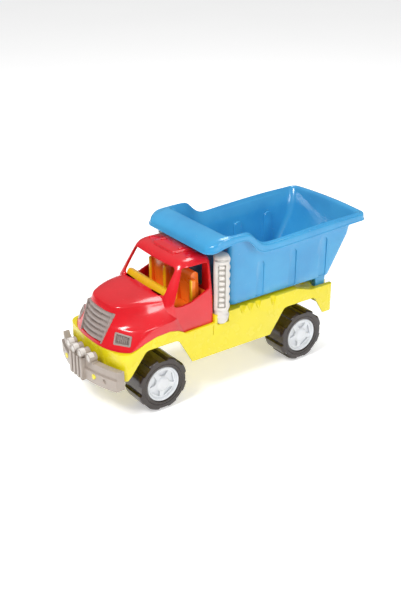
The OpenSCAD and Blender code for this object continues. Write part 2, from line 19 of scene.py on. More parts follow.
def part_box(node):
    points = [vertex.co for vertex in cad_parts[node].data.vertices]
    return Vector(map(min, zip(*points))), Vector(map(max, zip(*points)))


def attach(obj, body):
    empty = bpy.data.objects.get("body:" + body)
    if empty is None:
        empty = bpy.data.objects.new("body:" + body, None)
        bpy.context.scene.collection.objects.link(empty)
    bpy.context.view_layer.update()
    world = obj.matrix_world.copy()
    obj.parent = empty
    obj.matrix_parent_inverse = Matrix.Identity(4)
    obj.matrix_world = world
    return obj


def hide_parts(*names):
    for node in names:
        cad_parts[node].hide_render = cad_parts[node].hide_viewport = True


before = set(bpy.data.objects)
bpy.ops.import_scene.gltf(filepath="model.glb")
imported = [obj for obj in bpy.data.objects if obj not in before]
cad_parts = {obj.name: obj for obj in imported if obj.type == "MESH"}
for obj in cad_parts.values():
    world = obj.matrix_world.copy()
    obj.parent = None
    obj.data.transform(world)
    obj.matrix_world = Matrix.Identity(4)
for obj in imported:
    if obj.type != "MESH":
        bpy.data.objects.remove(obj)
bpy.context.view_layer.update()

MM = 0.001
REAR_SHIFT = -2.25
Point = tuple[float, float, float]
Flat = tuple[float, float]
Piece = bpy.types.Object

log = logging.getLogger("truck")


class Side(Enum):
    """The two long sides of the truck."""

    LEFT = 1
    RIGHT = -1


class Axis(Enum):
    """The direction along which a flat outline is extruded."""

    X = 0
    Y = 1
    Z = 2


# ---------------------------------------------------------------- plane shapes


def mix(a: float, b: float, t: float) -> float:
    """Returns the value at share t of the way from a to b."""
    return a + (b - a) * t


def smooth(t: float) -> float:
    """Returns t eased in and out between 0 and 1."""
    t = min(1.0, max(0.0, t))
    return t * t * (3 - 2 * t)


def curve(points: Sequence[Flat], at: float) -> float:
    """Reads a smooth curve through points.

    Args:
        points: Pairs of place and value, in rising order of place.
        at: The place to read.

    Returns:
        The value of a monotone cubic at that place.
    """
    if at <= points[0][0]:
        return points[0][1]
    if at >= points[-1][0]:
        return points[-1][1]
    slopes = [(b[1] - a[1]) / (b[0] - a[0]) for a, b in zip(points, points[1:])]
    tangents = [slopes[0]]
    for s, t in zip(slopes, slopes[1:]):
        tangents.append(0.0 if s * t <= 0 else 2 * s * t / (s + t))
    tangents.append(slopes[-1])
    for i, ((a, va), (b, vb)) in enumerate(zip(points, points[1:])):
        if at <= b:
            h = b - a
            t = (at - a) / h
            return (
                (2 * t**3 - 3 * t**2 + 1) * va
                + (t**3 - 2 * t**2 + t) * h * tangents[i]
                + (3 * t**2 - 2 * t**3) * vb
                + (t**3 - t**2) * h * tangents[i + 1]
            )
    return points[-1][1]


def fillet(points: Sequence[Flat], radius: float, steps: int = 5) -> list[Flat]:
    """Rounds the corners of a closed outline.

    Args:
        points: The corners.
        radius: The largest radius; short edges take a smaller one.
        steps: Segments of each rounded corner.

    Returns:
        The rounded outline.
    """
    made: list[Flat] = []
    count = len(points)
    for i, p in enumerate(points):
        here = Vector(p)
        back = Vector(points[i - 1]) - here
        ahead = Vector(points[(i + 1) % count]) - here
        corner = back.angle(ahead)
        if corner > math.radians(172) or radius <= 0:
            made.append((here.x, here.y))
            continue
        cut = min(radius / math.tan(corner / 2), 0.48 * back.length, 0.48 * ahead.length)
        real = cut * math.tan(corner / 2)
        a, b = back.normalized(), ahead.normalized()
        centre = here + (a + b).normalized() * (real / math.sin(corner / 2))
        start, end = here + a * cut - centre, here + b * cut - centre
        turn = start.angle(end)
        for k in range(steps + 1):
            t = k / steps
            if turn < 1e-4:
                v = start
            else:
                v = start * (math.sin((1 - t) * turn) / math.sin(turn)) + end * (
                    math.sin(t * turn) / math.sin(turn)
                )
            made.append((centre.x + v.x, centre.y + v.y))
    return made


# ---------------------------------------------------------------- modelling


class Bench:
    """The modelling steps that the pieces share, each made of Blender's own operators."""

    @staticmethod
    def rest() -> None:
        """Leaves edit mode and deselects everything."""
        if bpy.context.object and bpy.context.object.mode != "OBJECT":
            bpy.ops.object.mode_set(mode="OBJECT")
        bpy.ops.object.select_all(action="DESELECT")

    @staticmethod
    def hold(piece: Piece) -> Piece:
        """Makes one piece the only selected and active one, and returns it."""
        Bench.rest()
        piece.select_set(True)
        bpy.context.view_layer.objects.active = piece
        return piece

    @staticmethod
    def edit(piece: Piece, step: Callable[[], object]) -> None:
        """Runs one edit-mode step on all of a piece's mesh."""
        Bench.hold(piece)
        bpy.ops.object.mode_set(mode="EDIT")
        bpy.ops.mesh.select_all(action="SELECT")
        step()
        bpy.ops.object.mode_set(mode="OBJECT")

    @staticmethod
    def place(piece: Piece, name: str, points: Sequence[Point]) -> Piece:
        """Names a fresh primitive and moves its vertices to points in millimetres."""
        piece.name = name
        piece.data.name = name
        piece.location = (0, 0, 0)
        flat = [c * MM for x, y, z in points for c in (x, y + REAR_SHIFT, z)]
        piece.data.vertices.foreach_set("co", flat)
        piece.data.update()
        return piece

    @staticmethod
    def outward(piece: Piece) -> None:
        """Merges doubles and turns all faces outwards."""

        def step() -> None:
            """Runs the edit on the selected mesh."""
            bpy.ops.mesh.remove_doubles(threshold=0.00002)
            bpy.ops.mesh.normals_make_consistent(inside=False)

        Bench.edit(piece, step)

    @staticmethod
    def skin(
        name: str, rings: Sequence[Sequence[Point]], loop: bool = True, capped: bool = True
    ) -> Piece:
        """Bends a grid into a skin through rings of equal length.

        Args:
            name: The piece's name.
            rings: Rows of points in millimetres.
            loop: Whether each row closes on itself.
            capped: Whether the open ends are closed with faces.

        Returns:
            The new piece.
        """
        rows = [list(r) + [r[0]] if loop else list(r) for r in rings]
        Bench.rest()
        bpy.ops.mesh.primitive_grid_add(
            x_subdivisions=len(rows[0]) - 1, y_subdivisions=len(rows) - 1, size=MM
        )
        piece = Bench.place(bpy.context.object, name, [p for row in rows for p in row])

        def close() -> None:
            """Merges doubles, closes the ends and turns the faces outwards."""
            bpy.ops.mesh.remove_doubles(threshold=0.000002)
            if capped:
                bpy.ops.mesh.select_all(action="DESELECT")
                bpy.ops.mesh.select_mode(type="EDGE")
                bpy.ops.mesh.select_non_manifold(
                    extend=False, use_wire=False, use_multi_face=False, use_non_contiguous=False
                )
                bpy.ops.mesh.edge_face_add()
                bpy.ops.mesh.select_mode(type="VERT")
            bpy.ops.mesh.select_all(action="SELECT")
            bpy.ops.mesh.normals_make_consistent(inside=False)

        Bench.edit(piece, close)
        return piece

    @staticmethod
    def plate(name: str, outline: Sequence[Flat], low: float, high: float, axis: Axis) -> Piece:
        """Extrudes a flat outline between two stations of an axis.

        Args:
            name: The piece's name.
            outline: Points in millimetres: (y, z) for X, (x, z) for Y, (x, y) for Z.
            low: The first station.
            high: The second station.
            axis: The direction of the extrusion.

        Returns:
            The closed plate.
        """
        put = {
            Axis.X: lambda a, b: (low, a, b),
            Axis.Y: lambda a, b: (a, low, b),
            Axis.Z: lambda a, b: (a, b, low),
        }[axis]
        Bench.rest()
        bpy.ops.mesh.primitive_circle_add(vertices=len(outline), fill_type="NGON", radius=MM)
        piece = Bench.place(bpy.context.object, name, [put(a, b) for a, b in outline])
        way = [0.0, 0.0, 0.0]
        way[axis.value] = (high - low) * MM

        def extrude() -> None:
            """Gives the outline its depth."""
            bpy.ops.mesh.extrude_region_move(TRANSFORM_OT_translate={"value": way})
            bpy.ops.mesh.select_all(action="SELECT")
            bpy.ops.mesh.normals_make_consistent(inside=False)

        Bench.edit(piece, extrude)
        return piece

    @staticmethod
    def lathe(
        name: str,
        profile: Sequence[Flat],
        centre: Point,
        axis: Axis,
        steps: int = 64,
        shape: Optional[Callable[[int, float], float]] = None,
        closed: bool = False,
    ) -> Piece:
        """Turns a profile about an axis.

        Args:
            name: The piece's name.
            profile: Pairs of radius and station along the axis, in millimetres.
            centre: The axis's origin.
            axis: The axis's direction.
            steps: Segments of a full turn.
            shape: Gives the radius of profile point i at an angle, where it isn't round.
            closed: Whether the profile closes on itself, as round a hole.

        Returns:
            The turned piece.
        """
        rings = []
        for i, (r, s) in enumerate(profile):
            ring = []
            for k in range(steps):
                a = 2 * math.pi * k / steps
                real = shape(i, a) if shape else r
                c, d = real * math.cos(a), real * math.sin(a)
                offset = {Axis.X: (s, c, d), Axis.Y: (c, s, d), Axis.Z: (c, d, s)}[axis]
                ring.append(tuple(centre[j] + offset[j] for j in range(3)))
            rings.append(ring)
        return Bench.skin(name, rings, capped=not closed)

    @staticmethod
    def block(
        name: str, low: Point, high: Point, radius: float = 0.6, segments: int = 2
    ) -> Piece:
        """Returns a box between two corners with bevelled edges."""
        outline = [(low[0], low[1]), (high[0], low[1]), (high[0], high[1]), (low[0], high[1])]
        piece = Bench.plate(name, outline, low[2], high[2], Axis.Z)
        if radius > 0:
            Bench.bevel(piece, radius, segments)
        return piece

    @staticmethod
    def apply(piece: Piece, kind: str, **settings: object) -> Piece:
        """Adds one modifier with its settings, applies it and returns the piece."""
        Bench.hold(piece)
        modifier = piece.modifiers.new(kind.lower(), kind)
        for key, value in settings.items():
            setattr(modifier, key, value)
        bpy.ops.object.modifier_apply(modifier=modifier.name)
        return piece

    @staticmethod
    def bevel(piece: Piece, width: float, segments: int = 2, angle: float = 35) -> Piece:
        """Rounds the edges that are sharper than an angle, and returns the piece."""
        return Bench.apply(
            piece,
            "BEVEL",
            width=width * MM,
            segments=segments,
            limit_method="ANGLE",
            angle_limit=math.radians(angle),
            harden_normals=False,
            miter_outer="MITER_ARC",
        )

    @staticmethod
    def combine(piece: Piece, tool: Piece, operation: str) -> Piece:
        """Joins a tool to a piece, or cuts or crops the piece with it.

        Args:
            piece: The piece that stays.
            tool: The piece that is used up.
            operation: UNION, DIFFERENCE or INTERSECT.

        Returns:
            The changed piece.
        """
        Bench.apply(piece, "BOOLEAN", object=tool, operation=operation, solver="EXACT")
        bpy.data.objects.remove(tool, do_unlink=True)
        return piece

    @staticmethod
    def cut(piece: Piece, *tools: Piece) -> Piece:
        """Cuts tools out of a piece, and returns it."""
        for tool in tools:
            Bench.combine(piece, tool, "DIFFERENCE")
        return piece

    @staticmethod
    def fuse(piece: Piece, *tools: Piece) -> Piece:
        """Unites tools with a piece, and returns it."""
        for tool in tools:
            Bench.combine(piece, tool, "UNION")
        return piece

    @staticmethod
    def gather(name: str, parts: Sequence[Piece]) -> Piece:
        """Joins parts into one object without a boolean, and returns it."""
        Bench.hold(parts[0])
        for part in parts:
            part.select_set(True)
        bpy.context.view_layer.objects.active = parts[0]
        bpy.ops.object.join()
        made = bpy.context.object
        made.name = name
        made.data.name = name
        return made

    @staticmethod
    def twin(piece: Piece, name: str) -> Piece:
        """Copies a piece across the middle plane.

        Args:
            piece: The piece to copy.
            name: The copy's name.

        Returns:
            The mirrored copy, with its own mesh.
        """
        Bench.hold(piece)
        bpy.ops.object.duplicate()
        made = bpy.context.object
        made.name = name
        made.data.name = name

        def flip() -> None:
            """Turns the faces round."""
            bpy.ops.transform.mirror(
                constraint_axis=(True, False, False), center_override=(0.0, 0.0, 0.0)
            )
            bpy.ops.mesh.flip_normals()

        Bench.edit(made, flip)
        return made

    @staticmethod
    def again(piece: Piece, name: str, along_y: float) -> Piece:
        """Copies a piece to another station along Y, in millimetres, and returns the copy."""
        Bench.hold(piece)
        bpy.ops.object.duplicate()
        made = bpy.context.object
        made.name = name
        made.data.name = name
        Bench.edit(
            made, lambda: bpy.ops.transform.translate(value=(0.0, along_y * MM, 0.0))
        )
        return made

    @staticmethod
    def turn(piece: Piece, degrees: float, axis: str, centre: Point) -> Piece:
        """Turns a piece's mesh about an axis through a point, and returns the piece."""
        spot = Vector((centre[0], centre[1] + REAR_SHIFT, centre[2])) * MM

        def step() -> None:
            """Runs the edit on the selected mesh."""
            bpy.ops.transform.rotate(
                value=-math.radians(degrees), orient_axis=axis, center_override=spot
            )

        Bench.edit(piece, step)
        return piece

    @staticmethod
    def cad_copy(node: str, name: str) -> Piece:
        """Copies a CAD node's mesh, merges it and clears the flat triangles.

        Args:
            node: The CAD node.
            name: The copy's name.

        Returns:
            A free piece that can be shaped.
        """
        Bench.rest()
        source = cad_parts[node]
        mesh = source.data.copy()
        mesh.materials.clear()
        made = bpy.data.objects.new(name, mesh)
        mesh.name = name
        bpy.context.scene.collection.objects.link(made)

        def step() -> None:
            """Runs the edit on the selected mesh."""
            bpy.ops.mesh.remove_doubles(threshold=0.000005)
            bpy.ops.mesh.dissolve_limited(angle_limit=math.radians(0.6))

        Bench.edit(made, step)
        return made

    @staticmethod
    def shade(piece: Piece, angle: float = 32) -> Piece:
        """Smooths a piece's shading below an angle, and returns it."""
        Bench.hold(piece)
        bpy.ops.object.shade_smooth_by_angle(angle=math.radians(angle))
        return piece


def plan(
    half_w: float, front: float, rear: float, front_r: float, rear_r: float, bow: float = 0.0
) -> list[tuple[float, float, float]]:
    """Returns a rounded rectangle as a closed ring.

    Args:
        half_w: Half of its width.
        front: The y of its front edge.
        rear: The y of its rear edge.
        front_r: Radius of the front corners.
        rear_r: Radius of the rear corners.
        bow: How far the middle of the front edge stands forward of its ends.

    Returns:
        Points (x, y, share), from the middle of the front over +X to the rear and back; the
        share is 1 along the front edge and eases to 0 over its corners.
    """
    straight, arc, rear_steps = 8, 9, 8
    half: list[tuple[float, float, float]] = []
    for k in range(straight):
        x = (half_w - front_r) * k / straight
        half.append((x, front - bow * (1 - (x / half_w) ** 2), 1.0))
    for k in range(arc):
        a = math.pi / 2 * k / arc
        x = half_w - front_r + front_r * math.sin(a)
        y = front + front_r * (1 - math.cos(a)) - bow * (1 - (x / half_w) ** 2)
        half.append((x, y, 1 - smooth(k / arc)))
    start, end = front + front_r, rear - rear_r
    for k in range(34):
        half.append((half_w, mix(start, end, 0.34 * k / 34), 0.0))
    for k in range(20):
        half.append((half_w, mix(start, end, mix(0.34, 1.0, k / 20)), 0.0))
    for k in range(arc):
        a = math.pi / 2 * k / arc
        half.append(
            (half_w - rear_r * (1 - math.cos(a)), end + rear_r * math.sin(a), 0.0)
        )
    for k in range(rear_steps + 1):
        half.append(((half_w - rear_r) * (1 - k / rear_steps), rear, 0.0))
    return half + [(-x, y, w) for x, y, w in reversed(half[1:-1])]


# ---------------------------------------------------------------- finishes


def linear(red: int, green: int, blue: int) -> tuple[float, float, float, float]:
    """Returns a display colour, 0 to 255, as a scene colour with alpha."""
    made = []
    for c in (red, green, blue):
        v = c / 255
        made.append(v / 12.92 if v <= 0.04045 else ((v + 0.055) / 1.055) ** 2.4)
    return made[0], made[1], made[2], 1.0


@dataclass(frozen=True)
class Finish:
    """A moulded or drawn surface.

    Attributes:
        name: The material's name.
        base: The main display colour.
        shade: The display colour of its cloudy variation.
        rough: Mean roughness.
        grain: Height of the moulded grain, in micrometres.
        coat: Weight of the clear gloss layer.
        metal: 1 for bare metal.
        streak: How much the grain is drawn out along X.
        scuff: Share of fine scuffs.
    """

    name: str
    base: tuple[int, int, int]
    shade: tuple[int, int, int]
    rough: float = 0.24
    grain: float = 30.0
    coat: float = 0.25
    metal: float = 0.0
    streak: float = 1.0
    scuff: float = 0.5

    def material(self) -> bpy.types.Material:
        """Returns the finish's material, made on first use."""
        found = bpy.data.materials.get(self.name)
        if found:
            return found
        made = bpy.data.materials.new(self.name)
        made.use_nodes = True
        tree = made.node_tree
        shader = tree.nodes["Principled BSDF"]
        shader.inputs["Metallic"].default_value = self.metal
        shader.inputs["Coat Weight"].default_value = self.coat
        shader.inputs["Coat Roughness"].default_value = 0.08
        place = tree.nodes.new("ShaderNodeTexCoord")
        mapping = tree.nodes.new("ShaderNodeMapping")
        mapping.inputs["Scale"].default_value = (1 / self.streak, 1.0, 1.0)
        tree.links.new(place.outputs["Object"], mapping.inputs["Vector"])

        def noise(scale: float, detail: float, roughness: float = 0.5) -> bpy.types.NodeSocket:
            """Adds a noise texture and returns its value."""
            node = tree.nodes.new("ShaderNodeTexNoise")
            node.inputs["Scale"].default_value = scale
            node.inputs["Detail"].default_value = detail
            node.inputs["Roughness"].default_value = roughness
            tree.links.new(mapping.outputs["Vector"], node.inputs["Vector"])
            return node.outputs["Fac"]

        def spread(
            value: bpy.types.NodeSocket, low: float, high: float, to_low: float, to_high: float
        ) -> bpy.types.NodeSocket:
            """Maps a value's range to another and returns it."""
            node = tree.nodes.new("ShaderNodeMapRange")
            node.inputs["From Min"].default_value = low
            node.inputs["From Max"].default_value = high
            node.inputs["To Min"].default_value = to_low
            node.inputs["To Max"].default_value = to_high
            tree.links.new(value, node.inputs["Value"])
            return node.outputs["Result"]

        def blend(
            share: bpy.types.NodeSocket, first: object, second: object
        ) -> bpy.types.NodeSocket:
            """Mixes two colours, each a socket or four numbers, and returns the result."""
            node = tree.nodes.new("ShaderNodeMix")
            node.data_type = "RGBA"
            tree.links.new(share, node.inputs["Factor"])
            for key, value in (("A", first), ("B", second)):
                socket = [s for s in node.inputs if s.name == key and s.type == "RGBA"][0]
                if isinstance(value, bpy.types.NodeSocket):
                    tree.links.new(value, socket)
                else:
                    socket.default_value = value
            return [s for s in node.outputs if s.type == "RGBA"][0]

        clouds = spread(noise(22.0, 3.0), 0.35, 0.68, 0.0, 1.0)
        body = blend(clouds, linear(*self.base), linear(*self.shade))
        scuffs = spread(noise(260.0, 6.0, 0.72), 0.63, 0.78, 0.0, self.scuff)
        pale = tuple(mix(c, 1.0, 0.25) for c in linear(*self.base)[:3]) + (1.0,)
        tree.links.new(blend(scuffs, body, pale), shader.inputs["Base Color"])
        gloss = spread(noise(70.0, 4.0), 0.3, 0.7, self.rough - 0.05, self.rough + 0.07)
        worn = tree.nodes.new("ShaderNodeMath")
        worn.operation = "MULTIPLY_ADD"
        tree.links.new(scuffs, worn.inputs[0])
        worn.inputs[1].default_value = 0.25
        tree.links.new(gloss, worn.inputs[2])
        tree.links.new(worn.outputs["Value"], shader.inputs["Roughness"])
        bump = tree.nodes.new("ShaderNodeBump")
        bump.inputs["Strength"].default_value = 0.6
        bump.inputs["Distance"].default_value = self.grain * 1e-6
        tree.links.new(noise(900.0, 4.0, 0.6), bump.inputs["Height"])
        wave = tree.nodes.new("ShaderNodeBump")
        wave.inputs["Strength"].default_value = 0.5
        wave.inputs["Distance"].default_value = self.grain * 8e-6
        tree.links.new(noise(38.0, 2.0), wave.inputs["Height"])
        tree.links.new(wave.outputs["Normal"], bump.inputs["Normal"])
        tree.links.new(bump.outputs["Normal"], shader.inputs["Normal"])
        return made

    def dress(self, piece: Piece) -> Piece:
        """Gives a piece this finish and returns it."""
        piece.data.materials.clear()
        piece.data.materials.append(self.material())
        return piece


class Paint:
    """The truck's finishes."""

    BLUE = Finish("blue_plastic", (62, 160, 212), (52, 148, 204), rough=0.2, coat=0.4)
    RED = Finish("red_plastic", (220, 20, 34), (208, 14, 28), rough=0.2, coat=0.4)
    YELLOW = Finish("yellow_plastic", (232, 216, 20), (230, 213, 19), rough=0.24)
    # Painted light: the cabin insert is one yellow plastic; this orange copy is painted shade and
    # painted red reflection, and the next is its lit yellow.
    INSERT_SHADE = Finish("insert_painted_shade", (250, 138, 36), (246, 124, 36), rough=0.3)
    INSERT_LIT = Finish("insert_lit_yellow", (253, 204, 24), (250, 188, 26), rough=0.26)
    GREY = Finish("grey_plastic", (160, 146, 140), (146, 132, 126), rough=0.32, coat=0.1)
    BUMPER = Finish("bumper_plastic", (176, 164, 154), (158, 146, 136), rough=0.34, coat=0.1)
    WHITE = Finish("stack_plastic", (222, 218, 212), (206, 200, 194), rough=0.36, coat=0.05)
    TYRE = Finish("tyre_plastic", (42, 29, 24), (32, 22, 18), rough=0.2, grain=40, coat=0.35)
    HUB = Finish("hub_plastic", (214, 216, 219), (222, 226, 230), rough=0.2, coat=0.4)
    STEEL = Finish(
        "drawn_steel", (176, 176, 178), (150, 150, 153), 0.32, 20.0, 0.0, 1.0, 12.0, 0.3
    )


def register(piece: Piece, finish: Finish, slot: str, body: str, *nodes: str) -> Piece:
    """Dresses a finished piece and ties it to the frame.

    Args:
        piece: The piece.
        finish: Its finish.
        slot: The record's material slot; not used.
        body: The body that it rides on.
        *nodes: The CAD nodes that it stands for.

    Returns:
        The piece.
    """
    finish.dress(piece)
    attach(piece, body)
    if nodes:
        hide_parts(*nodes)
    log.info("%s: %d faces on %s", piece.name, len(piece.data.polygons), body)
    return piece


# ---------------------------------------------------------------- bed


@dataclass
class Bed:
    """The blue tipping bed: a thin tub whose rim sweeps up to a shield over the cab."""

    half_w: float = 62.0
    rim_half_w: float = 73.6
    floor_z: float = 110.5
    front_y: float = -13.4
    rear_low_y: float = 162.0
    rear_slope: float = 0.5926
    rim_rear_y: float = 211.8
    side_bow: float = 3.2
    rear_bow: float = 2.6
    rear_crown: float = 1.8
    lip_front_y: float = -55.6
    crease_y: float = -23.5
    rib_w: float = 12.5
    rib_ends: Sequence[float] = (42.4, 98.0, 152.6)
    rib_tops: Sequence[float] = (163.0, 166.5, 170.5)
    hinge: Flat = (146.0, 91.5)
    crease: Sequence[Flat] = ((-60.0, 208.4), (-41.0, 210.2), (-28.0, 211.7), (-20.0, 211.8),
                              (4.0, 211.8), (9.0, 210.4), (14.0, 207.0), (20.0, 201.0),
                              (26.0, 196.0), (32.0, 193.0), (39.0, 191.8), (80.0, 193.6),
                              (120.0, 195.6), (160.0, 196.7), (215.0, 196.8))
    lip: Sequence[Flat] = ((-56.0, 194.4), (-44.0, 196.6), (-35.0, 199.0), (-20.0, 201.6),
                           (-8.0, 202.8), (1.0, 202.6), (7.0, 200.0), (13.0, 193.6), (19.0, 186.6),
                           (25.0, 182.4), (31.0, 180.4), (38.0, 179.8), (87.0, 181.5),
                           (137.0, 183.6), (183.0, 185.6), (215.0, 186.4))
    sheet: Sequence[tuple[float, float, float, float]] = (
        (0.0, 0.0, 0.0, 0.0), (0.0, 0.08, 0.0, 0.05), (0.11, 0.14, 0.018, 0.085),
        (0.13, 0.45, 0.03, 0.19), (0.16, 0.72, 0.06, 0.33), (0.24, 0.84, 0.11, 0.46),
        (0.38, 0.875, 0.185, 0.59), (0.52, 0.85, 0.28, 0.71), (0.66, 0.85, 0.40, 0.81),
        (0.79, 0.91, 0.55, 0.89), (0.89, 0.98, 0.72, 0.95), (0.95, 1.0, 0.88, 0.985),
        (1.0, 0.99, 1.0, 1.0))

    def top(self, y: float) -> float:
        """Returns the height of the rim's inner crease at y."""
        return curve(self.crease, y)

    def band(self, side_f: float, side_g: float, front_f: float, front_g: float,
             inset: float = 0.0, drop: float = 0.0) -> list[Point]:
        """Returns one ring of the rim and shield.

        Args:
            side_f: Share of the way in from the outer edge, on the sides.
            side_g: Share of the way up from the lip, on the sides.
            front_f: The same share in, at the front.
            front_g: The same share up, at the front.
            inset: How far the ring's outer plan is moved in.
            drop: How far its top is lowered.
        """
        outer = plan(self.rim_half_w - inset, self.lip_front_y + inset,
                     self.rim_rear_y - inset, 15.0 - inset, 9.0 - inset)
        inner = plan(67.4, self.crease_y, 203.4, 9.0, 7.0)
        ring = []
        for (x0, y0, w), (x1, y1, _) in zip(outer, inner):
            f, g = mix(side_f, front_f, w), mix(side_g, front_g, w)
            x, y = mix(x0, x1, f), mix(y0, y1, f)
            low = curve(self.lip, mix(y, y0, w))
            high = self.top(mix(y, y1, w)) - drop
            ring.append((*self.bowed(x, y), mix(low, high, g) + self.crown(x, y)))
        return ring

    def crown(self, x: float, y: float) -> float:
        """Returns how much the rim is arched up at a place of its rear edge."""
        return self.rear_crown * smooth((y - 170.0) / 30.0) * (1 - (x / self.rim_half_w) ** 2)

    def bowed(self, x: float, y: float) -> Flat:
        """Returns a plan point moved out by the bow of the rim's sides and rear."""
        side = smooth((y + 20.0) / 100.0) * (1 - 0.2 * smooth((y - 150.0) / 60.0))
        rear = smooth((y - 150.0) / 50.0) * (1 - (x / self.rim_half_w) ** 2)
        return x * (1 + self.side_bow * side / self.rim_half_w), y + self.rear_bow * rear

    def wall(self, half_w: float, front: float, rear: float, radius: float,
             height: Callable[[float], float]) -> list[Point]:
        """Returns one ring of the tub's straight part, with its height given along y."""
        return [(x, y, height(y)) for x, y, _ in plan(half_w, front, rear, radius, radius)]

    def flare(self, share: float, half_w: float, front: float, rear: float, drop: float
              ) -> list[Point]:
        """Returns one ring of the wall's flare under the rim.

        Args:
            share: How much of the rim's bow it takes.
            half_w: Half of its width.
            front: The y of its front.
            rear: The y of its rear.
            drop: How far it lies under the rim's crease.
        """
        ring = []
        for x, y, _ in plan(half_w, front, rear, 9.0, 8.5):
            bx, by = self.bowed(x, y)
            height = self.top(y) - drop + share * self.crown(x, y)
            ring.append((mix(x, bx, share), mix(y, by, share), height))
        return ring

    def rear(self, z: float) -> float:
        """Returns the y of the sloping rear wall's outer face at a height."""
        return self.rear_low_y + (z - self.floor_z) * self.rear_slope

    def shell(self) -> Piece:
        """Returns the tub with its rim as one closed shell."""
        rings = []
        for half_w, front, z, radius in (
            (58.6, -10.2, 110.6, 8.0), (60.4, -12.2, 111.1, 9.0), (61.2, -13.0, 112.4, 9.5),
            (61.6, -13.2, 126.0, 9.5), (61.8, -13.3, 145.0, 9.5), (62.0, -13.4, 166.0, 9.5),
        ):
            rear = self.rear(z) - (61.2 - half_w if half_w < 61 else 0)
            rings.append(self.wall(half_w, front, rear, radius, lambda y, z=z: z))
        for share, half_w, front, rear, drop in (
            (0.1, 62.6, -13.9, 196.6, 19.0), (0.45, 64.4, -15.8, 199.8, 9.0),
            (0.7, 65.6, -17.4, 201.0, 5.0), (0.9, 66.8, -19.4, 202.6, 3.6),
        ):
            rings.append(self.flare(share, half_w, front, rear, drop))
        for side_f, side_g, front_f, front_g in (
            (0.62, 0.83, 0.62, 0.92), (0.4, 0.84, 0.40, 0.81), (0.18, 0.83, 0.25, 0.69),
            (0.06, 0.7, 0.12, 0.48), (0.04, 0.4, 0.05, 0.28), (0.04, 0.0, 0.02, 0.0),
        ):
            rings.append(self.band(side_f, side_g, front_f, front_g, 1.7, 2.0))
        rings += [self.band(*row) for row in self.sheet]
        for share, half_w, front, rear, drop in (
            (1.0, 66.9, -22.8, 201.0, 1.2), (0.9, 66.0, -21.2, 199.9, 3.2),
            (0.75, 64.8, -18.6, 198.6, 6.4), (0.5, 63.2, -15.6, 197.0, 11.0),
            (0.25, 61.6, -13.2, 195.0, 17.0), (0.08, 60.6, -12.0, 192.4, 23.0),
        ):
            rings.append(self.flare(share, half_w, front, rear, drop))
        for half_w, front, z, back in (
            (60.0, -11.4, 160.0, 2.7), (59.8, -11.3, 140.0, 2.7), (59.4, -11.2, 120.0, 2.7),
            (59.0, -10.8, 115.6, 2.9), (57.6, -9.4, 113.4, 3.4), (55.6, -7.4, 112.8, 5.2),
        ):
            rings.append(self.wall(half_w, front, self.rear(z) - back, 8.0, lambda y, z=z: z))
        return Bench.skin("bed_shell", rings)

    def rib_outline(self, end: float, top: float, inset: float, low: float) -> list[Flat]:
        """Returns the side view of a rib with a round top."""
        r = self.rib_w / 2 - inset
        mid = end - self.rib_w / 2
        arc = [(mid + r * math.cos(a), top - inset - r + r * math.sin(a))
               for a in [math.pi * k / 14 for k in range(15)]]
        return [(mid + r, low)] + arc + [(mid - r, low)]

    def legs(self) -> list[Piece]:
        """Returns the two legs with their trunnions."""
        y, z = self.hinge
        arc = [(y + 8 * math.cos(a), z + 8 * math.sin(a))
               for a in [math.pi * (1 + k / 16) for k in range(17)]]
        outline = arc + [(y + 8.2, 104.0), (y + 9.2, 111.8), (y - 9.5, 111.8), (y - 8.2, 104.0)]
        made = []
        for side in Side:
            leg = Bench.plate("leg", outline, side.value * 50.0, side.value * 59.4, Axis.X)
            Bench.bevel(leg, 1.2, 3)
            s = side.value
            pin = Bench.lathe("pin", [(0.2, 58.6 * s), (4.0, 58.6 * s), (4.0, 63.6 * s),
                                      (3.4, 64.2 * s), (0.2, 64.2 * s)], (0, y, z), Axis.X, 32)
            made.append(Bench.fuse(leg, pin))
        return made

    def build(self) -> Piece:
        """Returns the finished bed."""
        shell = self.shell()
        for end, top in zip(self.rib_ends, self.rib_tops):
            for side in Side:
                s = side.value
                dent = Bench.plate("dent", self.rib_outline(end, top, 0.0, 113.4),
                                   s * 60.3, s * 66.0, Axis.X)
                pad = Bench.plate("pad", self.rib_outline(end, top + 0.8, -0.6, 113.2),
                                  s * 57.6, s * 60.6, Axis.X)
                Bench.bevel(pad, 1.0, 3)
                Bench.fuse(shell, pad)
                Bench.cut(shell, dent)
        Bench.fuse(shell, *self.legs())
        Bench.bevel(shell, 0.45, 2, 48)
        Bench.shade(shell, 40)
        shell.name = "bed_tub"
        return register(shell, Paint.BLUE, "bed_blue", "bed", "bed")


# ---------------------------------------------------------------- cab


def nose(x: float, z: float) -> float:
    """Returns the y of the bonnet's front at a place on the nose."""
    return -188.0 + (z - 92.0) * 0.394 + 0.0028 * x * x


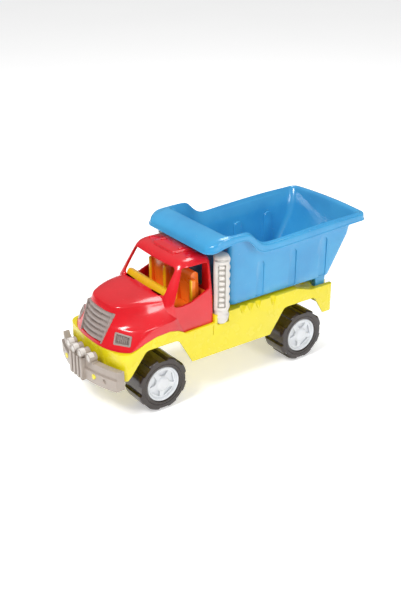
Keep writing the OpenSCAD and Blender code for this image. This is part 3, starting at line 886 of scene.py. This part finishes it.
@dataclass
class Cab:
    """The red cab: a domed bonnet with fenders, and a cabin with open windows."""

    wall: float = 2.2
    cabin: Sequence[tuple[float, float, float]] = (
        (86.0, 63.6, -112.0), (110.0, 63.3, -112.0), (131.0, 62.4, -111.4), (140.0, 61.6, -109.2),
        (160.0, 58.6, -97.6), (174.0, 56.2, -89.4), (180.0, 54.6, -86.0), (183.6, 52.4, -82.8),
        (185.8, 49.0, -79.0), (186.8, 44.5, -74.6), (187.3, 30.0, -66.0))
    seam: Sequence[Flat] = ((-195.0, 90.3), (-166.0, 91.3), (-146.0, 99.8), (-130.0, 104.3),
                            (-110.0, 105.3), (-97.0, 102.3), (-86.0, 95.8), (-36.0, 97.4))
    grille: Sequence[Flat] = ((-24.6, 94.2), (24.6, 94.2), (29.6, 131.8), (-29.6, 131.8))
    marker_shares: tuple[float, float] = (0.3, 0.64)
    marker_ahead: float = 19.8
    marker_sweep: float = 4.3
    marker_half: Flat = (1.8, 4.2)
    marker_tops: Flat = (191.2, 188.2)
    roof_core: float = 184.0

    def cage(self) -> list[list[Point]]:
        """Returns the control rows with both creases held tight by close rows."""
        made: list[list[Point]] = []
        rows = self.rows()
        for i, row in enumerate(rows):
            for near in ((i - 1, i + 1) if i in (4, 8) else ()):
                share = 0.3 if near < i else 0.35
                close = [tuple(mix(a, b, share) for a, b in zip(p, q))
                         for p, q in zip(row, rows[near])]
                if near < i:
                    made.append(close)
                    made.append(row)
                else:
                    made.append(close)
            if i not in (4, 8):
                made.append(row)
        return made

    def rows(self) -> list[list[Point]]:
        """Returns the bonnet's control rows, from the seam to the dome's ridge."""
        return [
            [(0, -190, 86), (14, -189.8, 86), (27, -188.6, 86), (40, -185.5, 86),
             (54, -179, 86), (63.5, -170.5, 86), (67, -159, 86), (67, -125, 86),
             (66.8, -88, 86), (61, -76, 86)],
            [(0, -188, 92), (14, -187.8, 92), (27, -186.4, 92), (40, -183.3, 92),
             (54, -176.8, 92), (63.2, -168.6, 92), (67, -157, 92), (67, -125, 92),
             (66.8, -91, 92), (61, -79, 92)],
            [(0, -184.8, 100), (14, -184.5, 100), (27, -182.9, 100), (40, -178.8, 100),
             (53.5, -171.5, 100), (62.2, -164, 100), (66.9, -153.5, 100), (67, -125, 100),
             (66.8, -95, 100), (61, -84, 100)],
            [(0, -181.8, 108), (14, -181.4, 108), (26.5, -179.6, 108), (39.5, -174.2, 108),
             (52.5, -166, 108), (60.8, -158.6, 108), (66.2, -148.5, 108), (67, -124, 109),
             (66.6, -99, 109), (61, -89, 109)],
            [(0, -179.2, 114.6), (14, -178.8, 114.6), (26, -177, 114.6), (39, -170.6, 114.6),
             (51.4, -161.6, 114.6), (58.6, -154, 114.6), (64.2, -143.6, 115.6),
             (66.4, -122, 117.4), (66, -102, 118.4), (60.6, -93, 118.6)],
            [(0, -177.8, 118.4), (14, -177.4, 118.4), (25.8, -175.4, 118.4),
             (37.2, -168.2, 118.4), (47.6, -158.6, 118), (53.6, -150, 118), (58.6, -139.6, 119.2),
             (61.4, -121, 121.6), (62.4, -105, 123.4), (60, -97, 124)],
            [(0, -175, 126), (14, -174.6, 126), (25.7, -172.6, 126), (35.5, -165.8, 126.4),
             (43.2, -154.8, 126.8), (48.6, -142.8, 127.6), (53, -130, 128.8),
             (55.8, -115, 130.2), (57.2, -104, 131), (57.6, -96, 131)],
            [(0, -172, 133.4), (14, -171.7, 133.4), (25.8, -169.6, 133.2), (34.4, -162.3, 133.4),
             (41.2, -151.8, 133.8), (46.5, -139.8, 134.6), (50.4, -126.8, 135),
             (52.8, -112, 135.3), (54, -103, 135.4), (54.4, -96, 135.4)],
            [(0, -169.3, 139.2), (14, -169, 139.2), (26, -167, 138.9), (33.4, -159.8, 139),
             (39.6, -148.8, 139.8), (44.7, -137, 140.4), (48.6, -124.6, 140.5),
             (50.8, -111, 140.4), (51.8, -103, 140.4), (52, -96, 140.4)],
            [(0, -164.5, 142), (13, -164, 142), (24.5, -161.5, 141.8), (31, -155, 141.9),
             (36.5, -146, 142.4), (41, -135.5, 142.9), (44.3, -123.5, 143), (46, -110, 142.9),
             (46.8, -102, 142.8), (47, -96, 142.8)],
            [(0, -152, 144.8), (10, -151.8, 144.8), (19.5, -150, 144.7), (25.5, -146, 144.8),
             (30, -139.5, 145.1), (33.5, -131, 145.3), (36, -121, 145.5), (37.5, -109, 145.6),
             (38, -102, 145.6), (38, -96, 145.6)],
            [(0, -136, 146.3), (5, -136, 146.3), (10, -135, 146.3), (14, -133, 146.4),
             (17, -129, 146.5), (19, -123, 146.7), (20, -116, 146.9), (21, -107, 147),
             (21.5, -101, 147), (21.5, -96, 147)],
            [(0, y, 147.3) for y in (-122, -121.4, -120.4, -119, -116.6, -113, -109, -104, -100,
                                     -96)],
        ]

    def bonnet(self) -> Piece:
        """Returns the bonnet and fenders as a thin shell."""
        rings = []
        for row in self.cage():
            rings.append([(-x, y, z) for x, y, z in reversed(row[1:])] + list(row))
        shell = Bench.skin("bonnet", rings, loop=False, capped=False)
        Bench.apply(shell, "SUBSURF", levels=2, render_levels=2)
        if sum(face.normal.z * face.area for face in shell.data.polygons) < 0:
            Bench.edit(shell, lambda: bpy.ops.mesh.flip_normals())
        return Bench.apply(shell, "SOLIDIFY", thickness=self.wall * MM, offset=-1.0)

    def cabin_solid(self, name: str, inset: float) -> Piece:
        """Returns the cabin's outer or, with an inset, inner form as a closed solid."""
        rings = []
        for i, (z, half_w, front) in enumerate(self.cabin):
            top = i / (len(self.cabin) - 1)
            pull = max(0.0, top - 0.6) * 8.0
            rings.append([
                (x, y, z - inset)
                for x, y, _ in plan(half_w - inset, front + inset, -39.6 - inset - pull,
                                    13.0, 5.5, 3.2)
            ])
        return Bench.skin(name, rings)

    def markers(self) -> list[Flat]:
        """Returns the places of the roof's four marker lights, worked out from the cab's box."""
        high = Vector(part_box("cab")[1]) / MM
        rear = high.y - REAR_SHIFT
        return sorted(
            (side.value * share * high.x, rear - self.marker_ahead - step * self.marker_sweep)
            for step, share in enumerate(self.marker_shares)
            for side in Side
        )

    def roof(self) -> list[Piece]:
        """Returns the raised panel and the marker bumps of the roof."""
        outline = [(-25, -76.5), (25, -76.5), (29, -44), (-29, -44)]
        panel = Bench.plate("panel", fillet(outline, 6.0), self.roof_core, 189.8, Axis.Z)
        Bench.bevel(panel, 2.2, 4, 60)
        made = [panel]
        wide, deep = self.marker_half
        for x, y in self.markers():
            top = self.marker_tops[0 if abs(x) < 30 else 1]
            drawn = fillet([(x - wide, y - deep), (x + wide, y - deep),
                            (x + wide, y + deep), (x - wide, y + deep)],
                           1.75, 6)
            bump = Bench.plate("marker", drawn, self.roof_core, top, Axis.Z)
            made.append(Bench.bevel(bump, 0.9, 4, 60))
        return made

    def openings(self) -> list[Piece]:
        """Returns the tools that cut the windows, the grille and the region under the seam."""
        side = fillet([(-102.6, 133.2), (-89.0, 131.8), (-74.0, 133.6), (-45.0, 145.4),
                       (-45.0, 179.0), (-82.0, 179.0)], 4.0)
        screen = fillet([(-48.2, 144.6), (48.2, 144.6), (46.4, 178.4), (-46.4, 178.4)], 5.0)
        back = fillet([(-39.0, 139.0), (39.0, 139.0), (39.0, 177.0), (-39.0, 177.0)], 5.0)
        under = list(self.seam) + [(-30.0, 60.0), (-205.0, 60.0), (-205.0, 90.0)]
        return [
            Bench.plate("side", side, -90.0, 90.0, Axis.X),
            Bench.plate("screen", screen, -110.6, -72.0, Axis.Y),
            Bench.plate("back", back, -60.0, -30.0, Axis.Y),
            Bench.plate("under", under, -90.0, 90.0, Axis.X),
            Bench.plate("mouth", fillet(self.grille, 2.0), -200.0, -158.0, Axis.Y),
            *(Front().pocket(side) for side in Side),
        ]

    def build(self) -> Piece:
        """Returns the finished cab."""
        bonnet = self.bonnet()
        Bench.cut(bonnet, self.cabin_solid("room", self.wall))
        shell = Bench.cut(self.cabin_solid("cabin", 0.0), self.cabin_solid("hollow", self.wall))
        Bench.fuse(shell, *self.roof())
        Bench.cut(shell, *self.openings())
        Bench.cut(bonnet, *self.openings())
        if min(len(bonnet.data.polygons), len(shell.data.polygons)) < 500:
            raise RuntimeError("a cut emptied the bonnet or the cabin")
        for part in (bonnet, shell):
            Bench.bevel(part, 0.7, 3, 46)
        shell = Bench.gather("cab_shell", [shell, bonnet])
        Bench.shade(shell, 42)
        return register(shell, Paint.RED, "cab_red", "chassis", "cab")


@dataclass
class Front:
    """The grille and the headlights in the cab's nose."""

    slat_zs: Sequence[float] = (97.2, 103.5, 109.8, 116.1, 122.4, 128.7)
    slat_h: float = 5.0
    lamp_wide: float = 23.0
    lamp_high: float = 16.0
    lamp_drop: float = 2.5
    lamp_turn: float = 34.0
    lamp_rake: float = 27.0
    lamp_proud: float = 0.9

    def half(self, z: float) -> float:
        """Returns the grille's half width at a height."""
        return 24.0 + (z - 94.2) * 5.0 / 37.6

    def bar(self, z: float, high: float, proud: float, deep: float, wide: float) -> Piece:
        """Returns one bowed bar of the grille.

        Args:
            z: Its middle height.
            high: Its height.
            proud: How far it stands out of the nose.
            deep: Its depth from there.
            wide: Its half width.
        """
        rings = []
        for k in range(25):
            x = wide * (k / 12 - 1)
            kink = 0.9 * smooth((abs(x) - 9.5) / 2.4) + 0.7 * smooth((abs(x) - 19.0) / 2.4)
            h = high / 2
            front = nose(x, z) - proud + kink
            rings.append([
                (x, front + deep, z - h), (x, front + 0.9, z - h), (x, front + 0.15, z - h + 0.8),
                (x, front + 0.1 + 0.3, z + h - 1.0), (x, front + 1.2, z + h),
                (x, front + deep, z + h),
            ])
        return Bench.bevel(Bench.skin("bar", rings), 0.35, 2, 40)

    def grille(self) -> Piece:
        """Returns the grille: a back, its slats and the rail at each side."""
        parts = [self.bar(z, self.slat_h, 1.3, 4.4, self.half(z) + 1.6) for z in self.slat_zs]
        rings = []
        for k in range(13):
            z = 93.8 + 37.8 * k / 12
            rings.append([(x, nose(x, z) + d, z) for d, xs in
                          ((2.0, range(-6, 7)), (4.6, range(6, -7, -1)))
                          for x in [self.half(z) * i / 6 for i in xs]])
        parts.append(Bench.skin("back", rings))
        for s in (-1, 1):
            rings = []
            for k in range(13):
                z = 94.0 + 37.4 * k / 12
                x = s * (self.half(z) + 0.6)
                wide, out = 0.7, 1.5
                rings.append([(x - wide, nose(x, z) + 4.4, z), (x - wide, nose(x, z) - out, z),
                              (x + wide, nose(x, z) - out, z),
                              (x + wide, nose(x, z) + 4.4, z)])
            parts.append(Bench.bevel(Bench.skin("rail", rings), 0.3, 2, 40))
        made = Bench.gather("grille_slats", parts)
        Bench.shade(made, 38)
        return register(made, Paint.GREY, "trim_grey", "chassis", "grille")

    def lamp_axes(self) -> tuple[Vector, Vector, Vector, Vector, list[Flat]]:
        """Returns the lamp's middle, its right, up and outward directions, and its corners."""
        turn, rake = math.radians(self.lamp_turn), math.radians(self.lamp_rake)
        right = Vector((math.cos(turn), math.sin(turn), 0.0))
        out = Vector((math.sin(turn) * math.cos(rake), -math.cos(turn) * math.cos(rake),
                      math.sin(rake)))
        low, high = (Vector(corner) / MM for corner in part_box("headlight_left"))
        middle = (low + high) / 2 - Vector((0.0, REAR_SHIFT, 0.0)) + out * self.lamp_proud
        w, h = self.lamp_wide / 2, self.lamp_high / 2
        flat = [(-w, h), (w, h - self.lamp_drop), (w, -h), (-w, -h)]
        return middle, right, out.cross(right), out, flat

    def pocket(self, side: Side) -> Piece:
        """Makes the tool that cuts a lamp's opening.

        Args:
            side: The side of the truck.

        Returns:
            The tool.
        """
        middle, right, up, out, flat = self.lamp_axes()
        rings = []
        for lift in (-9.0, 9.0):
            drawn = fillet([(u * 0.97, v * 0.95) for u, v in flat], 1.5, 4)
            ring = [middle + right * u + up * v + out * lift for u, v in drawn]
            rings.append([(side.value * p.x, p.y, p.z) for p in ring])
        return Bench.skin("pocket", rings)

    def headlight(self) -> Piece:
        """Returns the left headlight: a bezel round a ribbed lens."""
        middle, right, up, out, flat = self.lamp_axes()

        def ring(scale: float, lift: float) -> list[Point]:
            """Returns the rounded lamp outline, shrunk and lifted."""
            drawn = fillet([(u - math.copysign(scale, u), v - math.copysign(scale, v))
                            for u, v in flat], 1.5, 4)
            return [tuple(middle + right * u + up * v + out * lift) for u, v in drawn]

        bezel = Bench.skin("bezel", [ring(0.0, -4.0), ring(0.0, 1.0), ring(0.3, 1.6),
                                     ring(0.9, 1.8), ring(2.0, 1.6), ring(2.4, 0.9),
                                     ring(2.7, -2.0), ring(2.7, -4.0), ring(0.0, -4.0)],
                           capped=False)
        lens = Bench.skin("lens", [ring(2.4, -3.8), ring(2.4, -2.3), ring(2.8, -2.0)])
        parts = [bezel, lens]
        low, high = min(u for u, _ in flat) + 3.6, max(u for u, _ in flat) - 3.6
        for k in range(7):
            u = mix(low, high, k / 6)
            t = (u - flat[0][0]) / (flat[1][0] - flat[0][0])
            top = mix(flat[0][1], flat[1][1], t) - 2.7
            bottom = mix(flat[3][1], flat[2][1], t) + 2.7
            rings = [[tuple(middle + right * (u + a) + up * v + out * b) for a, b in
                      ((-0.6, -2.6), (-0.5, -0.8), (0.0, -0.3), (0.5, -0.8), (0.6, -2.6))]
                     for v in (bottom, top)]
            parts.append(Bench.skin("rib", rings))
        made = Bench.gather("headlight_lens_left", parts)
        Bench.outward(made)
        return Bench.shade(made, 38)

    def build(self) -> None:
        """Builds the grille and both headlights."""
        self.grille()
        left = self.headlight()
        right = Bench.twin(left, "headlight_lens_right")
        register(left, Paint.GREY, "trim_grey", "chassis", "headlight_left")
        register(right, Paint.GREY, "trim_grey", "chassis", "headlight_right")


# ---------------------------------------------------------------- trim


@dataclass
class Stack:
    """A white air cleaner stack with a slotted shield and a scalloped rear edge."""

    x: float = 61.0
    y: float = -28.0
    r: float = 9.7
    facing: float = -30.0
    low_z: float = 113.0
    high_z: float = 181.0
    rungs: int = 8

    def body(self) -> Piece:
        """Returns the tube with its domed bottom, collar and cap."""
        profile = [(0.2, 91.0), (4.0, 91.5), (7.4, 93.3), (9.4, 96.0), (10.2, 99.2),
                   (10.4, 102.4), (11.1, 103.0), (11.2, 104.0), (11.0, 105.4), (10.2, 106.2),
                   (9.9, 108.0), (self.r, 112.6), (self.r, 182.0), (9.3, 183.0),
                   (10.2, 184.0), (10.2, 185.4), (9.2, 187.3), (6.8, 188.6), (0.2, 189.0)]
        return Bench.lathe("tube", profile, (self.x, self.y, 0.0), Axis.Z, 56)

    def arch(self, r: float, low: float, high: float, spread: float) -> Piece:
        """Returns a curved strip on the outer side of the tube.

        Args:
            r: Its outer radius.
            low: Its lowest height.
            high: Its highest height.
            spread: Half of its angle, in degrees.
        """
        rings = []
        for z in (low, high):
            outer = [math.radians(spread * (k / 10 - 1)) for k in range(21)]
            rings.append(
                [(self.x + r * math.cos(a), self.y + r * math.sin(a), z) for a in outer]
                + [(self.x + 7.0 * math.cos(a), self.y + 7.0 * math.sin(a), z)
                   for a in reversed(outer)]
            )
        return Bench.skin("arch", rings)

    def build_one(self) -> Piece:
        """Returns the left stack."""
        body = self.body()
        shield = Bench.bevel(self.arch(11.7, self.low_z, self.high_z, 56), 1.0, 3, 50)
        Bench.fuse(body, shield)
        slot = Bench.plate("slot", fillet([(self.y - 5.2, self.low_z + 4),
                                           (self.y + 5.2, self.low_z + 4),
                                           (self.y + 5.2, self.high_z - 4),
                                           (self.y - 5.2, self.high_z - 4)], 1.6),
                           self.x + 6.4, self.x + 16.0, Axis.X)
        Bench.cut(body, slot)
        pitch = (self.high_z - self.low_z - 8) / self.rungs
        for k in range(self.rungs):
            z = self.low_z + 4 + (k + 0.5) * pitch
            rung = Bench.block("rung", (self.x + 5.0, self.y - 3.6, z - 2.2),
                               (self.x + 10.9, self.y + 3.6, z + 2.2), 1.0, 3)
            Bench.fuse(body, rung)
        turned = (Matrix.Translation(Vector((self.x, self.y + REAR_SHIFT, 0)) * MM)
                  @ Matrix.Rotation(math.radians(self.facing), 4, "Z")
                  @ Matrix.Translation(-Vector((self.x, self.y + REAR_SHIFT, 0)) * MM))
        body.data.transform(turned)
        edge = [(self.y + 4.0, 108.0), (self.y + 8.4, 108.0)]
        for k in range(60):
            z = 110.0 + 75.0 * k / 59
            wave = abs(math.sin(math.pi * (z - 110.0) / 10.71))
            edge.append((self.y + 9.2 + 2.4 * wave**0.6, z))
        edge += [(self.y + 7.6, 187.0), (self.y + 4.0, 187.0)]
        flange = Bench.bevel(Bench.plate("flange", edge, self.x - 1.6, self.x + 5.2, Axis.X),
                             1.2, 3, 60)
        Bench.fuse(body, flange)
        Bench.bevel(body, 0.35, 2, 50)
        body.name = "stack_body_left"
        return Bench.shade(body, 40)

    def build(self) -> None:
        """Builds both stacks."""
        left = self.build_one()
        right = Bench.twin(left, "stack_body_right")
        register(left, Paint.WHITE, "stack_white", "chassis", "stack_left")
        register(right, Paint.WHITE, "stack_white", "chassis", "stack_right")


@dataclass
class Wheel:
    """A wide black tyre with eight lugs, and its white hub."""

    axle_z: float = 36.5
    front_y: float = -124.5
    base: float = 230.0
    lugs: int = 8
    gap_r: float = 33.2
    spokes: int = 5

    def tread(self, profile: Sequence[Flat]) -> Callable[[int, float], float]:
        """Returns the radius of the tread's profile points round the tyre."""

        def radius(i: int, angle: float) -> float:
            """Returns the radius of point i at an angle."""
            r = profile[i][0]
            share = (angle * self.lugs / (2 * math.pi)) % 1.0
            edge = min(abs(share - 0.25), abs(share - 0.75)) * 2 * math.pi / self.lugs
            on_lug = 0.25 < share < 0.75
            lift = smooth(0.5 + (edge if on_lug else -edge) / 0.036)
            return mix(min(r, self.gap_r), r, lift)

        return radius

    def tyre(self) -> Piece:
        """Returns the left front tyre."""
        profile = [(23.7, 60.0), (23.7, 69.6), (24.1, 70.8), (25.2, 71.4), (27.4, 71.4),
                   (27.8, 71.0), (28.4, 71.0), (28.8, 71.4), (33.6, 71.4), (34.9, 71.2),
                   (35.6, 70.7), (36.2, 69.6), (36.45, 68.2), (36.5, 66.0), (36.5, 38.0),
                   (36.3, 35.6), (35.2, 33.4), (33.6, 31.9), (32.2, 31.4), (29.6, 31.4),
                   (28.7, 32.2), (28.3, 57.4), (27.6, 58.2), (6.6, 58.6), (6.0, 58.0),
                   (6.0, 33.6), (2.1, 33.6), (2.1, 59.4), (2.6, 60.0), (23.7, 60.0)]
        made = Bench.lathe("tyre", profile, (0, self.front_y, self.axle_z), Axis.X, 208,
                           self.tread(profile), closed=True)
        return Bench.shade(made, 34)

    def hub(self) -> Piece:
        """Returns the left front hub: a rim, a dish with spokes and a dome."""
        profile = [(2.3, 60.4), (23.3, 60.4), (23.6, 61.0), (23.6, 69.6), (23.3, 70.4),
                   (22.6, 70.8), (21.8, 70.6), (21.0, 69.8), (20.5, 68.4), (19.8, 67.7),
                   (15.0, 67.9), (11.0, 68.5), (9.6, 69.0), (8.8, 70.2), (7.6, 71.0),
                   (4.6, 71.35), (0.2, 71.4)]
        made = Bench.lathe("hub", profile, (0, self.front_y, self.axle_z), Axis.X, 72)
        for k in range(self.spokes):
            mid = 2 * math.pi * (k + 0.2) / self.spokes
            outline = []
            for r, spread in ((10.6, 0.26), (14.8, 0.42), (19.0, 0.47)):
                outline.append((r, mid - spread))
            outline += [(r, mid + spread) for r, spread in ((19.0, 0.47), (14.8, 0.42),
                                                            (10.6, 0.26))]
            points = [(self.front_y + r * math.cos(a), self.axle_z + r * math.sin(a))
                      for r, a in outline]
            Bench.cut(made, Bench.plate("pocket", fillet(points, 1.6), 65.2, 75.0, Axis.X))
        Bench.bevel(made, 0.55, 3, 30)
        return Bench.shade(made, 34)

    def build(self) -> None:
        """Builds the four wheels."""
        for kind, first, paint, slot in (("tyre", self.tyre(), Paint.TYRE, "tyre_black"),
                                         ("hub", self.hub(), Paint.HUB, "hub_white")):
            made = {("front", "left"): first}
            made["rear", "left"] = Bench.again(first, "copy", self.base)
            for axle in ("front", "rear"):
                made[axle, "right"] = Bench.twin(made[axle, "left"], "copy")
            for (axle, side), piece in made.items():
                piece.name = f"{kind}_body_{axle}_{side}"
                piece.data.name = piece.name
                register(piece, paint, slot, f"{axle}_wheels", f"{kind}_{axle}_{side}")


@dataclass
class Shells:
    """Moulded pieces that keep the frame's form and get rounded edges."""

    notches: Sequence[Point] = ((4.0, 4.8, 96.4), (17.0, 4.8, 97.0), (30.0, 4.8, 97.4),
                                (56.0, 5.2, 94.0))
    fog_xs: Sequence[float] = (-24.7, -8.3, 8.3, 24.7)
    fog_z: float = 80.0
    seat_edge_xs: Sequence[float] = (-47.0, -13.0, 13.0, 47.0)

    def rounded(self, node: str, name: str, width: float, angle: float = 30) -> Piece:
        """Returns a merged copy of a CAD node with soft edges."""
        made = Bench.cad_copy(node, name)
        Bench.bevel(made, width, 3, angle)
        return Bench.shade(made, 40)

    def notch(self, y: float, top_r: float, low_z: float, skin: float) -> Piece:
        """Returns an upright pointed scoop in the side wall's top edge.

        Args:
            y: Its station.
            top_r: Its radius at the top.
            low_z: The height of its point.
            skin: How much larger than the scoop it is.
        """
        profile = [(0.4 + skin, low_z - skin), (top_r * 0.45 + skin, low_z + 2.2),
                   (top_r + skin, 105.0), (top_r + 0.6 + skin, 107.3 if skin else 112.0)]
        return Bench.lathe("notch", profile, (68.0, y, 0.0), Axis.Z, 28)

    def chassis(self) -> Piece:
        """Returns the chassis with scoops in its top edges and a seam groove in each side."""
        made = Bench.cad_copy("chassis", "chassis_shell")
        groove = [(-43.8, 80.6), (-42.6, 80.6), (-42.6, 95.0), (-43.8, 95.0)]
        for side in Side:
            for y, top_r, low_z in self.notches:
                back = self.notch(y, top_r, low_z, 1.7)
                room = Bench.block("room", (56.0, y - 14.0, 84.0), (66.7, y + 14.0, 107.2), 0.0)
                Bench.combine(back, room, "INTERSECT")
                scoop = self.notch(y, top_r, low_z, 0.0)
                if side is Side.RIGHT:
                    back, scoop = self.crossed(back), self.crossed(scoop)
                Bench.fuse(made, back)
                Bench.cut(made, scoop)
            inner, outer = side.value * 65.7, side.value * 70.0
            Bench.cut(made, Bench.plate("groove", groove, inner, outer, Axis.X))
        Bench.bevel(made, 0.6, 3, 30)
        return Bench.shade(made, 40)

    def crossed(self, piece: Piece) -> Piece:
        """Moves a tool to the other side of the truck.

        Args:
            piece: The tool, which is used up.

        Returns:
            Its mirrored twin.
        """
        made = Bench.twin(piece, piece.name)
        bpy.data.objects.remove(piece, do_unlink=True)
        return made

    def lenses(self) -> Piece:
        """Returns the four fog lights' rings and domed glasses."""
        parts = []
        for x in self.fog_xs:
            front = -207.0 + x * x / 200
            ring = [(5.9, front + 5.0), (5.9, front - 1.2), (5.5, front - 1.7),
                    (4.7, front - 1.7), (4.4, front - 1.0), (3.0, front - 1.3),
                    (0.2, front - 1.6)]
            parts.append(Bench.lathe("ring", ring, (x, 0, self.fog_z), Axis.Y, 36))
        return Bench.shade(Bench.gather("fog_light_rings", parts), 36)

    def seats(self) -> Piece:
        """Returns the cabin's insert with raised edges on its seats."""
        made = self.rounded("cabin_insert", "cabin_seats", 0.9)
        for x in self.seat_edge_xs:
            edge = Bench.block("edge", (x - 3.2, -66.5, 112.0), (x + 3.2, -58.0, 157.0), 2.6, 4)
            made = Bench.gather("cabin_seats", [made, edge])
        return Bench.shade(made, 40)

    def build(self) -> None:
        """Builds the chassis, the bumper with its lights, and the cabin's insert."""
        register(self.chassis(), Paint.YELLOW, "chassis_yellow", "chassis", "chassis")
        register(self.lenses(), Paint.WHITE, "stack_white", "chassis")
        register(self.rounded("bumper", "bumper_bar", 0.7), Paint.BUMPER, "bumper_grey",
                 "chassis", "bumper")
        seats = register(self.seats(), Paint.INSERT_SHADE, "insert_yellow", "chassis", "cabin_insert")
        # Painted light: the dash and the seat edges take the lit yellow; the rest keeps the orange
        # of painted shade and painted red reflection.
        seats.data.materials.append(Paint.INSERT_LIT.material())
        for face in seats.data.polygons:
            x, y, z = (c / MM for c in face.center)
            if y < -92.0 or (-69.6 < y < -66.9 and z > 112.0):
                face.material_index = 1


# ---------------------------------------------------------------- studio


@dataclass
class Studio:
    """Floor, light and camera."""

    camera_at: Point = (955.6, -706.25, 657.6)
    azimuth: float = 54.25
    elevation: float = 25.49
    lens: float = 57.86

    def camera(self) -> None:
        """Adds the camera."""
        Bench.rest()
        bpy.ops.object.camera_add(location=[c * MM for c in self.camera_at])
        made = bpy.context.object
        made.name = "camera"
        a, e = math.radians(self.azimuth), math.radians(self.elevation)
        back = Vector((math.sin(a) * math.cos(e), -math.cos(a) * math.cos(e), math.sin(e)))
        made.rotation_euler = (-back).to_track_quat("-Z", "Y").to_euler()
        made.data.lens = self.lens
        made.data.sensor_width = 36.0
        made.data.clip_start, made.data.clip_end = 0.05, 50.0
        made.data.dof.use_dof = False
        bpy.context.scene.camera = made

    def floor(self) -> None:
        """Adds a wide pale floor."""
        Bench.rest()
        bpy.ops.mesh.primitive_plane_add(size=30, location=(0, 0, -0.0006))
        made = bpy.context.object
        made.name = "floor"
        finish = bpy.data.materials.new("studio_floor")
        finish.use_nodes = True
        tree = finish.node_tree
        shader = tree.nodes["Principled BSDF"]
        shader.inputs["Roughness"].default_value = 0.9
        shader.inputs["Specular IOR Level"].default_value = 0.1
        shader.inputs["Emission Color"].default_value = (1.0, 1.0, 1.0, 1.0)
        shader.inputs["Emission Strength"].default_value = 0.42
        place = tree.nodes.new("ShaderNodeTexCoord")
        noise = tree.nodes.new("ShaderNodeTexNoise")
        noise.inputs["Scale"].default_value = 3.0
        ramp = tree.nodes.new("ShaderNodeMapRange")
        ramp.inputs["To Min"].default_value = 0.93
        ramp.inputs["To Max"].default_value = 0.97
        tree.links.new(place.outputs["Object"], noise.inputs["Vector"])
        tree.links.new(noise.outputs["Fac"], ramp.inputs["Value"])
        tree.links.new(ramp.outputs["Result"], shader.inputs["Base Color"])
        made.data.materials.append(finish)

    def lamp(self, name: str, at: Point, size: float, power: float) -> None:
        """Adds a square soft light that faces the truck.

        Args:
            name: The light's name.
            at: Its place in metres.
            size: Its edge in metres.
            power: Its power in watts.
        """
        Bench.rest()
        bpy.ops.object.light_add(type="AREA", location=at)
        made = bpy.context.object
        made.name = name
        made.data.energy = power
        made.data.size = size
        made.rotation_euler = (Vector((0, 0, 0.1)) - Vector(at)).to_track_quat("-Z", "Y").to_euler()

    def build(self) -> None:
        """Builds the studio."""
        scene = bpy.context.scene
        scene.view_settings.view_transform = "Standard"
        world = bpy.data.worlds.new("studio_air")
        world.use_nodes = True
        sky = world.node_tree.nodes["Background"]
        sky.inputs["Strength"].default_value = 1.0
        tree = world.node_tree
        place = tree.nodes.new("ShaderNodeTexCoord")
        split = tree.nodes.new("ShaderNodeSeparateXYZ")
        rise = tree.nodes.new("ShaderNodeMapRange")
        rise.interpolation_type = "SMOOTHSTEP"
        rise.inputs["From Min"].default_value = -0.1
        rise.inputs["From Max"].default_value = 0.9
        rise.inputs["To Min"].default_value = 0.12
        rise.inputs["To Max"].default_value = 0.5
        tree.links.new(place.outputs["Generated"], split.inputs["Vector"])
        tree.links.new(split.outputs["Z"], rise.inputs["Value"])
        tree.links.new(rise.outputs["Result"], sky.inputs["Color"])
        scene.world = world
        self.floor()
        self.lamp("key", (0.3, -1.2, 1.6), 0.5, 19.0)
        self.lamp("side", (1.7, 0.1, 1.0), 0.6, 11.0)
        self.lamp("top", (-0.5, 0.7, 1.9), 0.7, 12.0)
        self.camera()


FINISHES: dict[str, tuple[Finish, str]] = {
    "chassis": (Paint.YELLOW, "chassis_yellow"),
    "cab": (Paint.RED, "cab_red"),
    "cabin_insert": (Paint.INSERT_SHADE, "insert_yellow"),
    "grille": (Paint.GREY, "trim_grey"),
    "headlight": (Paint.GREY, "trim_grey"),
    "bumper": (Paint.BUMPER, "bumper_grey"),
    "stack": (Paint.WHITE, "stack_white"),
    "tyre": (Paint.TYRE, "tyre_black"),
    "hub": (Paint.HUB, "hub_white"),
    "front_axle": (Paint.STEEL, "steel"),
    "rear_axle": (Paint.STEEL, "steel"),
    "cab_screws": (Paint.STEEL, "steel"),
}


def dress_frame() -> None:
    """Gives each CAD node that still shows its finish."""
    for name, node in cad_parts.items():
        if node.hide_render:
            continue
        key = max((k for k in FINISHES if name.startswith(k)), key=len, default=None)
        if key:
            finish, slot = FINISHES[key]
            finish.dress(node)
            log.info("%s: frame part", name)


def main() -> None:
    """Builds the truck and the studio."""
    logging.basicConfig(level=logging.INFO, format="%(name)s %(message)s")
    Studio().build()
    for part in (Bed(), Cab(), Front(), Stack(), Wheel(), Shells()):
        started = time.perf_counter()
        part.build()
        log.info("%s took %.1f s", type(part).__name__, time.perf_counter() - started)
    dress_frame()


if __name__ == "__main__":
    main()
